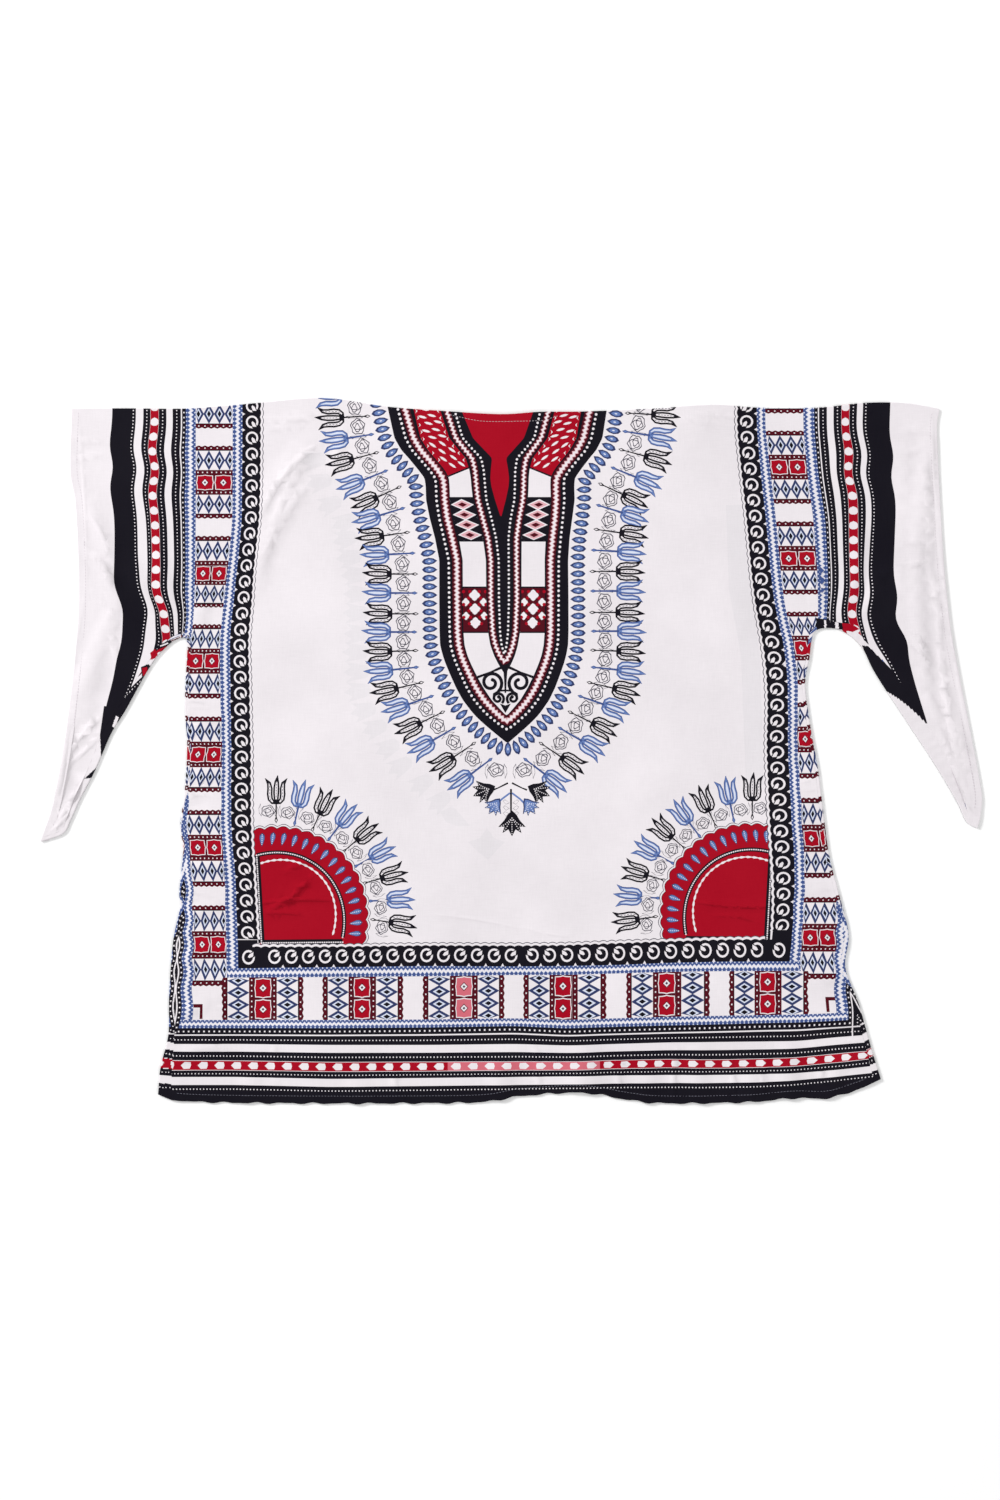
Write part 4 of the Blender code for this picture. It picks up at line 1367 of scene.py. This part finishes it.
def cut_cloth(outline, painted, step, more_points=()):
    """Cuts a flat cloth along its outline and along every print shape.

    Gives its points, its triangles and the colour of each triangle."""
    starts = np.cumsum([0] + [len(points) for _, points in painted])
    within = inside_outline(np.vstack([points for _, points in painted]), outline)
    touching = np.logical_or.reduceat(within, starts[:-1])
    kept = [shape for shape, touches in zip(painted, touching) if touches or len(shape[1]) >= 60]
    rings = [outline, *(points for _, points in kept)]
    corners = np.vstack(rings)
    edges = []
    first = 0
    for points in rings:
        last = first + len(points) - 1
        edges += [(corner, corner + 1) for corner in range(first, last)]
        edges.append((last, first))
        first = last + 1
    low, high = outline.min(axis=0) - 1, outline.max(axis=0) + 1
    across = np.arange(low[0], high[0], step)
    up = np.arange(low[1], high[1], step)
    grid = np.stack(np.meshgrid(across, up), -1)
    grid[1::2, :, 0] += step / 2
    grid = grid.reshape(-1, 2)
    cell = step * 0.8
    taken = set(map(tuple, np.floor(corners / cell).astype(int)))
    free = np.array([tuple(place) not in taken for place in np.floor(grid / cell).astype(int)])
    grid = grid[free]
    grid = grid[inside_outline(grid, outline)]
    every = np.vstack([corners, grid, *more_points])
    made = delaunay_2d_cdt([Vector(point) for point in every], edges, [], 0, 1e-4, False)
    points = np.array([point[:] for point in made[0]])
    triangles = np.array([corners for face in made[2] for corners in split_face(face, points)])
    middles = points[triangles].mean(axis=1)
    inside = inside_outline(middles, outline)
    triangles = triangles[inside]
    middles = middles[inside]
    spans = points[triangles[:, 1:]] - points[triangles[:, :1]]
    size = spans[:, 0, 0] * spans[:, 1, 1] - spans[:, 0, 1] * spans[:, 1, 0]
    triangles = triangles[size > 1e-5]
    middles = middles[size > 1e-5]
    size = size[size > 1e-5] / 2
    used, places = np.unique(triangles, return_inverse=True)
    triangles = places.reshape(triangles.shape)
    return points[used], [tuple(row) for row in triangles.tolist()], top_colours(middles, kept, size)


def boundary_edges(triangles):
    """Edges with one triangle only, each with the number of its triangle."""
    owners = {}
    for number, (a, b, c) in enumerate(triangles):
        for edge in ((a, b), (b, c), (c, a)):
            if (edge[1], edge[0]) in owners:
                del owners[(edge[1], edge[0])]
            else:
                owners[edge] = number
    return owners


def add_object(name, data):
    made = bpy.data.objects.new(name, data)
    bpy.context.scene.collection.objects.link(made)
    return made


class Cloth:
    """The points, faces and colours of one cloth while it is made."""

    def __init__(self):
        self.points = []
        self.normals = []
        self.faces = []
        self.colours = []

    def add(self, points, normals, faces, colours):
        start = sum(len(part) for part in self.points)
        self.points.append(np.asarray(points, float))
        self.normals.append(np.asarray(normals, float))
        self.faces += [tuple(int(corner) + start for corner in face) for face in faces]
        self.colours += list(colours)

    def turn_edges(self, flat, heights, triangles, colours, profile_of):
        """Turns the cut edges under. profile_of gives each edge point its rows of (outwards, upwards)."""
        owners = boundary_edges(triangles)
        edges = list(owners)
        used = sorted({corner for edge in edges for corner in edge})
        slot = {corner: number for number, corner in enumerate(used)}
        outward = np.zeros((len(used), 2))
        for a, b in edges:
            run = flat[b] - flat[a]
            side = np.array([run[1], -run[0]]) / (np.linalg.norm(run) + 1e-9)
            outward[slot[a]] += side
            outward[slot[b]] += side
        outward /= np.linalg.norm(outward, axis=1, keepdims=True) + 1e-9
        places = flat[used]
        profiles = profile_of(places)
        rows = []
        for level in range(profiles.shape[1]):
            away, rise = profiles[:, level, 0], profiles[:, level, 1]
            row = np.column_stack([places + outward * away[:, None], heights[used] + rise])
            rows.append(row)
        count = len(used)
        first = np.column_stack([places, heights[used]])
        stack = np.vstack([first, *rows])
        slopes = []
        for level in range(len(rows) + 1):
            before = stack[max(level - 1, 0) * count:(max(level - 1, 0) + 1) * count]
            after = stack[min(level + 1, len(rows)) * count:(min(level + 1, len(rows)) + 1) * count]
            step = after - before
            away = np.sum(step[:, :2] * outward, axis=1)
            rise = step[:, 2]
            normal = np.column_stack([outward * -rise[:, None], away])
            slopes.append(normal / (np.linalg.norm(normal, axis=1, keepdims=True) + 1e-9))
        faces = []
        tints = []
        for (a, b), number in owners.items():
            one, two = slot[a], slot[b]
            for level in range(len(rows)):
                near, far = level * count, (level + 1) * count
                faces.append((near + two, near + one, far + one, far + two))
                tints.append(colours[number])
        self.add(stack, np.vstack(slopes), faces, tints)

    def finished(self, name):
        """The cloth as an object, with a material for each of its colours."""
        points = np.vstack(self.points) + np.array([*MOVED, 0.0])
        normals = np.vstack(self.normals)
        mesh = bpy.data.meshes.new(name)
        mesh.from_pydata((points * MM).tolist(), [], self.faces)
        names = sorted(set(tint or "white" for tint in self.colours))
        for tint in names:
            mesh.materials.append(CLOTHS[tint])
        places = [names.index(tint or "white") for tint in self.colours]
        mesh.polygons.foreach_set("material_index", places)
        mesh.shade_smooth()
        mesh.normals_split_custom_set_from_vertices(normals.tolist())
        return add_object(name, mesh)


def slopes_of(height, points, step=0.6):
    """Normals of a height function at these points."""
    east = height(points + [step, 0]) - height(points - [step, 0])
    north = height(points + [0, step]) - height(points - [0, step])
    normal = np.column_stack([-east, -north, np.full(len(points), 2 * step)])
    return normal / np.linalg.norm(normal, axis=1, keepdims=True)


LEFT_INNER = seam_lines(LEFT_SEAM, [2, 3])
RIGHT_INNER = seam_lines(RIGHT_SEAM, [2, 3])
LEFT_OUTER = seam_lines(LEFT_SEAM, [0, 1])
RIGHT_OUTER = seam_lines(RIGHT_SEAM, [0, 1])
LEFT_CORNER = LEFT_INNER[np.argmax(LEFT_INNER[:, 1]):]
RIGHT_CORNER = RIGHT_INNER[np.argmax(RIGHT_INNER[:, 1]):]
FINE_ROWS = CREASES + gather_rows()


def crease_points(outline):
    """Mesh points along every fine crease, so that its narrow form shows."""
    made = []
    for start_across, start_up, end_across, end_up, bow, half_width, _ in FINE_ROWS:
        start = np.array([start_across, start_up], float)
        run = np.array([end_across, end_up]) - start
        length = np.hypot(*run)
        run /= length
        side = np.array([-run[1], run[0]])
        share = np.linspace(0, 1, max(int(length / (half_width * 2)), 3) + 1)[:, None]
        middle = start + run * length * share + side * 4 * bow * share * (1 - share)
        made += [middle + side * half_width * away for away in (-0.95, -0.5, 0, 0.5, 0.95)]
    made = np.vstack(made) + 0.013
    inside = inside_outline(made, outline)
    to_edge = np.min(np.linalg.norm(made[:, None] - outline[None, ::2], axis=2), axis=1)
    return made[inside & (to_edge > 3.0)]


def front_height(points):
    folds = FOLDS + pucker_rows(LEFT_CORNER, RIGHT_CORNER)
    base = front_heights(points, [LEFT_INNER[::3], RIGHT_INNER[::3]], folds)
    fine = sum(fold_height(points, *row) for row in FINE_ROWS)
    return base + fine + ABOVE_MIDDLE


def free_profile(places, seams, seam_profile, free_profile_rows, shoulder_profile):
    """Rows of an edge's turning, by whether the edge is a seam, the shoulder or free."""
    to_seam = np.minimum(*[distance_to_line(places, seam) for seam in seams])
    shoulder = smooth_curve(SHOULDER)
    below = np.abs(np.interp(places[:, 0], shoulder[:, 0], shoulder[:, 1]) - places[:, 1])
    neck = (places[:, 0] > NECK_ENDS[0]) & (places[:, 0] < NECK_ENDS[1])
    rows = np.tile(np.array(free_profile_rows, float), (len(places), 1, 1))
    rows[(below < 0.5) & ~neck] = shoulder_profile
    rows[to_seam < 0.3] = seam_profile
    return rows


def build_front(painted):
    outline = panel_outline(LEFT_INNER, RIGHT_INNER)
    flat, triangles, colours = cut_cloth(outline, painted, GRID_STEP, [crease_points(outline)])
    heights = front_height(flat)
    cloth = Cloth()
    normals = slopes_of(front_height, flat)
    cloth.add(np.column_stack([flat, heights]), normals, triangles, colours)
    seam = [(0.12, -0.06), (0.2, -0.3), (0.1, -0.55), (-1.5, -0.8), (-3.0, -0.95)]
    free = [(0.22, -0.06), (0.38, -0.3), (0.25, -0.58), (-0.6, -0.7), (-9.0, -0.72)]
    top = [(0.3, -0.12), (0.45, -0.5), (0.4, -0.95), (0.2, -1.3), (-0.4, -1.5)]
    cloth.turn_edges(flat, heights, triangles, colours,
                     lambda places: free_profile(places, [LEFT_INNER, RIGHT_INNER], seam, free, top))
    return cloth.finished("front_cloth")


def reflected(painted, seam, way, reach, slip):
    """The print's mirror image in a seam, as the other panel's print goes on beyond it."""
    top = int(np.argmax(seam[:, 1]))
    flipped = []
    for part in (seam[:top + 1], seam[top:]):
        run = np.gradient(part, axis=0)
        run /= np.linalg.norm(run, axis=1, keepdims=True)
        near = []
        for colour, points in painted:
            low, high = points.min(axis=0), points.max(axis=0)
            if ((part > low - reach) & (part < high + reach)).all(axis=1).any():
                if (high - low).max() > 24:
                    points = evenly_along(np.vstack([points, points[:1]]), 3.0)[:-1]
                near.append((colour, points))
        every = np.vstack([points for _, points in near])
        nearest = np.linalg.norm(every[:, None] - part[None], axis=2).argmin(axis=1)
        along = np.sum((every - part[nearest]) * run[nearest], axis=1, keepdims=True)
        farthest = np.where(nearest == len(part) - 1, 30.0, 3.0)[:, None]
        base = part[nearest] + np.clip(along, -3, farthest) * run[nearest]
        away = every - base
        away *= np.minimum(reach / np.maximum(np.linalg.norm(away, axis=1, keepdims=True), 1e-6), 1)
        there = (way * (run[nearest, 0] * away[:, 1] - run[nearest, 1] * away[:, 0]) > 0)[:, None]
        mirrored = np.where(there, base - away, base) + run[nearest] * slip
        first = 0
        for colour, points in near:
            shape = mirrored[first:first + len(points)]
            first += len(points)
            shape = shape[np.linalg.norm(shape - np.roll(shape, 1, axis=0), axis=1) > 0.05]
            if len(shape) > 2 and abs(signed_area(shape)) > 0.05:
                flipped.append((colour, shape))
    return flipped


# Places across a strip, in millimetres in from its outer edge, then as shares of the rest
ROLL_PLACES = (0.0, 0.12, 0.35, 0.7, 1.2)
STRIP_SHARES = 12
# The strip's outer roll and its inner tuck under the front. Columns: outwards, upwards
OUTER_TURN = [(-1.3, -2.3), (-0.65, -2.15), (-0.2, -1.8), (0.0, -1.4), (0.0, -1.2)]
INNER_TURN = [(0.5, -0.3), (1.2, -0.6), (2.2, -0.75), (3.2, -0.8)]


def build_strip(cloth, seam, painted, way):
    """The back's strip that comes over the front's edge, with its roll outside and its tuck inside."""
    pairs = smooth_curve(seam)
    length = lengths((pairs[:, :2] + pairs[:, 2:]) / 2)
    wanted = np.linspace(0, length[-1], int(length[-1] / STRIP_STEP) + 1)
    pairs = columns_at(wanted, length, pairs)
    outer, inner = pairs[:, :2], pairs[:, 2:]
    wide = np.linalg.norm(inner - outer, axis=1)
    inwards = (inner - outer) / wide[:, None]
    lines = []
    levels = []
    for out, rise in OUTER_TURN:
        lines.append(outer - inwards * out)
        levels.append(np.full(len(outer), SEAM_MIDDLE + rise + ABOVE_MIDDLE * 0.5))
    ripple = STRIP_RIPPLE * np.sin(wanted * TAU / RIPPLE_PERIOD + 0.9 * np.sin(wanted * 0.11))
    for place in ROLL_PLACES:
        drop = ROLL_RADIUS - math.sqrt(ROLL_RADIUS**2 - (ROLL_RADIUS - place) ** 2)
        lines.append(outer + inwards * np.minimum(place, wide * 0.4)[:, None])
        levels.append(np.full(len(outer), SEAM_MIDDLE - drop + ABOVE_MIDDLE * 0.5))
    for share in np.arange(1, STRIP_SHARES + 1) / STRIP_SHARES:
        start = np.minimum(ROLL_PLACES[-1], wide * 0.4)
        lines.append(outer + inwards * (start + (wide - start) * share)[:, None])
        levels.append(SEAM_MIDDLE + ABOVE_MIDDLE * 0.5 + ripple * share * (1.6 - share))
    for out, rise in INNER_TURN:
        lines.append(inner + inwards * out)
        levels.append(SEAM_MIDDLE + rise + ABOVE_MIDDLE * 0.5 + ripple * 0.4)
    grid = np.stack([np.column_stack([line, level]) for line, level in zip(lines, levels)])
    rows, columns = grid.shape[:2]
    along = np.gradient(grid, axis=1)
    across = np.gradient(grid, axis=0)
    normal = np.cross(along, across)
    normal /= np.linalg.norm(normal, axis=2, keepdims=True) + 1e-12
    top = rows // 2
    if normal[top, :, 2].mean() < 0:
        normal = -normal
    number = np.arange(rows * columns).reshape(rows, columns)
    quads = np.stack([number[:-1, :-1], number[:-1, 1:], number[1:, 1:], number[1:, :-1]], -1).reshape(-1, 4)
    flat = grid.reshape(-1, 3)
    first = flat[quads[len(quads) // 2]]
    if np.cross(first[1] - first[0], first[2] - first[0])[2] < 0:
        quads = quads[:, ::-1]
    middles = flat[quads].mean(axis=1)[:, :2]
    shapes_there = reflected(painted, evenly_along(inner, 3.0), way, 34.0, -1.5)
    shapes_there += painted[-len(UNDERARM_MARKS):]
    cloth.add(flat, normal.reshape(-1, 3), quads.tolist(), top_colours(middles, shapes_there))


BACK_GRID_STEP = 16.0


def build_back(painted, plain):
    """The back: its strips over the front's edge, the roll round the sides, and the sheet underneath."""
    cloth = Cloth()
    build_strip(cloth, LEFT_SEAM, painted, 1)
    build_strip(cloth, RIGHT_SEAM, painted, -1)
    flat, triangles, colours = cut_cloth(panel_outline(LEFT_OUTER, RIGHT_OUTER), plain, BACK_GRID_STEP)
    heights = np.full(len(flat), BACK_MIDDLE - 0.25)
    normals = np.tile([0.0, 0.0, 1.0], (len(flat), 1))
    cloth.add(np.column_stack([flat, heights]), normals, triangles, colours)
    free = [(0.15, 0.04), (0.25, 0.2), (0.15, 0.4), (-0.6, 0.5), (-9.0, 0.5)]
    seam = [(0.0, 0.0), (-0.1, 0.0), (-0.2, 0.0), (-0.3, 0.0), (-0.4, 0.0)]
    cloth.turn_edges(flat, heights, triangles, colours,
                     lambda places: free_profile(places, [LEFT_OUTER, RIGHT_OUTER], seam, free, free))
    return cloth.finished("back_cloth")


# The stitches: a thread's length, repeat and half width, and its rise and share of width at four places
THREAD_LENGTH = 2.9
THREAD_REPEAT = 3.9
THREAD_HALF = 0.22
THREAD_RISE = (-0.12, 0.2, 0.2, -0.12)
THREAD_TAPER = (0.6, 1.0, 1.0, 0.6)


def build_stitches(name, lines, height, colour):
    """Short threads along these lines of millimetre points, each sunk into the cloth at its ends."""
    points = []
    faces = []
    for line in lines:
        length = lengths(line)
        for start in np.arange(1.0, length[-1] - THREAD_LENGTH, THREAD_REPEAT):
            middle = columns_at(start + np.linspace(0, THREAD_LENGTH, 4), length, line)
            run = middle[-1] - middle[0]
            side = np.array([-run[1], run[0]]) / np.linalg.norm(run)
            first = len(points)
            for place, up, rise, taper in zip(middle, height(middle), THREAD_RISE, THREAD_TAPER):
                wide = THREAD_HALF * taper
                for out, lift in ((-wide, rise - 0.1), (0, rise + 0.16), (wide, rise - 0.1)):
                    points.append((*(place + side * out), up + lift))
            for base in (first, first + 3, first + 6):
                faces += [(base, base + 1, base + 4, base + 3), (base + 1, base + 2, base + 5, base + 4)]
    mesh = bpy.data.meshes.new(name)
    mesh.from_pydata(((np.array(points) + np.array([*MOVED, 0.0])) * MM).tolist(), [], faces)
    mesh.materials.append(THREADS[colour])
    mesh.shade_smooth()
    return add_object(name, mesh)


# Materials
def linear(red, green, blue):
    """Screen values from 0 to 255 as linear colour."""
    return tuple((value / 255 / 12.92) if value < 10 else ((value / 255 + 0.055) / 1.055) ** 2.4
                 for value in (red, green, blue))


def cloth_material(name, colour, roughness=0.9, sheen=0.01, depth=1.0):
    """Plain-weave cotton with a printed colour: threads, slubs, soft unevenness of colour and gloss."""
    material = bpy.data.materials.new(name)
    material.use_nodes = True
    nodes = material.node_tree.nodes
    links = material.node_tree.links
    shader = nodes["Principled BSDF"]
    shader.inputs["Metallic"].default_value = 0.0
    shader.inputs["Specular IOR Level"].default_value = 0.04
    shader.inputs["Sheen Weight"].default_value = sheen
    shader.inputs["Sheen Roughness"].default_value = 0.45
    place = nodes.new("ShaderNodeTexCoord")

    def noise(scale, detail=2.0, stretch=None):
        texture = nodes.new("ShaderNodeTexNoise")
        texture.inputs["Scale"].default_value = scale
        texture.inputs["Detail"].default_value = detail
        source = place.outputs["Object"]
        if stretch:
            mapping = nodes.new("ShaderNodeMapping")
            mapping.inputs["Scale"].default_value = stretch
            links.new(source, mapping.inputs["Vector"])
            source = mapping.outputs["Vector"]
        links.new(source, texture.inputs["Vector"])
        return texture.outputs["Fac"]

    def wave(direction, scale):
        texture = nodes.new("ShaderNodeTexWave")
        texture.wave_type = "BANDS"
        texture.bands_direction = direction
        texture.inputs["Scale"].default_value = scale
        texture.inputs["Distortion"].default_value = 0.6
        texture.inputs["Detail"].default_value = 1.0
        links.new(place.outputs["Object"], texture.inputs["Vector"])
        return texture.outputs["Fac"]

    def maths(kind, first, second):
        node = nodes.new("ShaderNodeMath")
        node.operation = kind
        for socket, value in zip(node.inputs, (first, second)):
            if isinstance(value, (int, float)):
                socket.default_value = value
            else:
                links.new(value, socket)
        return node.outputs[0]

    patches = noise(9.0, 3.0)
    warp_slubs = noise(60.0, 2.0, (18.0, 1.0, 1.0))
    weft_slubs = noise(60.0, 2.0, (1.0, 18.0, 1.0))
    slubs = maths("ADD", maths("MULTIPLY", warp_slubs, 0.5), maths("MULTIPLY", weft_slubs, 0.5))
    share = maths("ADD", maths("MULTIPLY", patches, 0.55), maths("MULTIPLY", slubs, 0.45))
    ramp = nodes.new("ShaderNodeMapRange")
    ramp.inputs["From Min"].default_value = 0.34
    ramp.inputs["From Max"].default_value = 0.66
    links.new(share, ramp.inputs["Value"])
    mix = nodes.new("ShaderNodeMix")
    mix.data_type = "RGBA"
    dark = tuple(max(value * 0.93 - 0.001, 0) for value in colour)
    light = tuple(min(value * 1.05 + 0.002, 1) for value in colour)
    mix.inputs[6].default_value = (*dark, 1)
    mix.inputs[7].default_value = (*light, 1)
    links.new(ramp.outputs[0], mix.inputs[0])
    links.new(mix.outputs[2], shader.inputs["Base Color"])
    rough = nodes.new("ShaderNodeMapRange")
    rough.inputs["To Min"].default_value = roughness - 0.06
    rough.inputs["To Max"].default_value = roughness + 0.08
    links.new(slubs, rough.inputs["Value"])
    links.new(rough.outputs[0], shader.inputs["Roughness"])

    threads = maths("MULTIPLY", wave("X", 620.0), wave("Y", 620.0))
    weave = nodes.new("ShaderNodeBump")
    weave.inputs["Strength"].default_value = 0.35 * depth
    weave.inputs["Distance"].default_value = 0.00008
    links.new(threads, weave.inputs["Height"])
    ribs = nodes.new("ShaderNodeBump")
    ribs.inputs["Strength"].default_value = 0.3 * depth
    ribs.inputs["Distance"].default_value = 0.00012
    links.new(slubs, ribs.inputs["Height"])
    links.new(weave.outputs["Normal"], ribs.inputs["Normal"])
    soft = nodes.new("ShaderNodeBump")
    soft.inputs["Strength"].default_value = 0.55
    soft.inputs["Distance"].default_value = 0.0012
    links.new(noise(26.0, 4.0), soft.inputs["Height"])
    links.new(ribs.outputs["Normal"], soft.inputs["Normal"])
    links.new(soft.outputs["Normal"], shader.inputs["Normal"])
    return material


COLOURS = {
    "white": (239, 233, 237),
    "ink": (25, 23, 31),
    "navy": (52, 62, 104),
    "steel": (68, 87, 142),
    "blue": (104, 128, 184),
    "pale": (218, 224, 242),
    "red": (169, 13, 35),
    "wine": (84, 18, 30),
    "pink": (214, 110, 124),
    "pinkish": (226, 172, 180),
    "grey": (76, 74, 86),
    "ghost": (234, 229, 233),
}
CLOTHS = {name: cloth_material("cotton_" + name, linear(*colour)) for name, colour in COLOURS.items()}
THREADS = {
    "light": cloth_material("thread_light", linear(214, 205, 212), 0.6, 0.2, 0.4),
    "dark": cloth_material("thread_dark", linear(138, 138, 152), 0.6, 0.2, 0.4),
}


def moved_inwards(line, away):
    """The line moved to its left side, which is inwards for the hem and the cuffs."""
    run = np.gradient(line, axis=0)
    run /= np.linalg.norm(run, axis=1, keepdims=True)
    return line + np.stack([-run[:, 1], run[:, 0]], -1) * away


# Shapes of the print from this size on, in millimetres, go on the back's sheet
PLAIN_SIZE = 100
HEM_TURNING = 9.0
CUFF_TURNING = 8.0
STITCH_LINE_STEP = 3.0
# The line of the neck's stitches in print units. Columns: across, down
NECK_STITCHES = [
    (446, 413.7), (463, 417.8), (480, 421), (497, 421.6),
    (514, 421.4), (544, 420.4), (551, 418), (559, 415.6),
]


def build_all():
    painted = [(colour, to_form(points)) for colour, points in print_shapes()]
    front = build_front(painted)
    plain = [shape for shape in painted if np.ptp(shape[1], axis=0).max() > PLAIN_SIZE]
    back = build_back(painted, plain)
    hem = moved_inwards(smooth_curve([LEFT_INNER[-1], *HEM, RIGHT_INNER[-1]]), HEM_TURNING)
    left_cuff = moved_inwards(smooth_curve([*LEFT_CUFF, LEFT_INNER[0]]), CUFF_TURNING)
    right_cuff = moved_inwards(smooth_curve([*RIGHT_CUFF, RIGHT_INNER[0]])[::-1], CUFF_TURNING)
    neck_edge = smooth_curve(to_form(NECK_STITCHES))
    hem, left_cuff, right_cuff, neck_edge = (
        evenly_along(line, STITCH_LINE_STEP) for line in (hem, left_cuff, right_cuff, neck_edge)
    )
    hem_thread = build_stitches("hem_stitches", [hem[2:-2]], front_height, "dark")
    cuff_thread = build_stitches("cuff_stitches", [left_cuff[1:-6], right_cuff[6:-1]], front_height, "light")
    neck_thread = build_stitches("neck_stitches", [neck_edge], front_height, "light")
    return front, back, hem_thread, cuff_thread, neck_thread


front, back, hem_thread, cuff_thread, neck_thread = build_all()
for piece in (front, back, hem_thread, cuff_thread, neck_thread):
    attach(piece, "root")
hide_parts("front_panel")
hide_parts("back_panel")


# Floor, light and camera
floor_colour = bpy.data.materials.new("floor")
floor_colour.use_nodes = True
floor_shader = floor_colour.node_tree.nodes["Principled BSDF"]
floor_shader.inputs["Base Color"].default_value = (0.99, 0.99, 0.99, 1)
floor_shader.inputs["Roughness"].default_value = 0.9
floor_shader.inputs["Emission Color"].default_value = (1, 1, 1, 1)
floor_shader.inputs["Emission Strength"].default_value = 0.07
floor_mesh = bpy.data.meshes.new("floor")
floor_mesh.from_pydata([(-8, -8, 0), (8, -8, 0), (8, 8, 0), (-8, 8, 0)], [], [(0, 1, 2, 3)])
floor_mesh.materials.append(floor_colour)
floor = add_object("floor", floor_mesh)
floor.location.z = -0.0004


def area_light(name, place, size, power):
    """A square light that faces the middle of the shirt."""
    light = bpy.data.lights.new(name, "AREA")
    light.shape = "SQUARE"
    light.size = size
    light.energy = power
    lamp = add_object(name, light)
    lamp.location = place
    lamp.rotation_euler = (-Vector(place)).to_track_quat("-Z", "Y").to_euler()


area_light("key_light", (-6.0, 3.8, 4.4), 1.8, 450)
area_light("fill_light", (8.0, -4.8, 8.4), 6.0, 235)
world = bpy.data.worlds.new("studio")
world.use_nodes = True
world.node_tree.nodes["Background"].inputs[0].default_value = (1, 1, 1, 1)
world.node_tree.nodes["Background"].inputs[1].default_value = 0.58
bpy.context.scene.world = world
bpy.context.scene.view_settings.view_transform = "Standard"

LENS = 85
SENSOR = 36
FRAME_HIGH = 1.905
FRAME_MIDDLE = (-0.01434, 0.00106)
CLOTH_LEVEL = 0.003
camera_data = bpy.data.cameras.new("camera")
camera_data.lens = LENS
camera_data.sensor_width = SENSOR
camera = add_object("camera", camera_data)
camera.location = (*FRAME_MIDDLE, CLOTH_LEVEL + FRAME_HIGH / 2 / (SENSOR / 2 / LENS))
bpy.context.scene.camera = camera
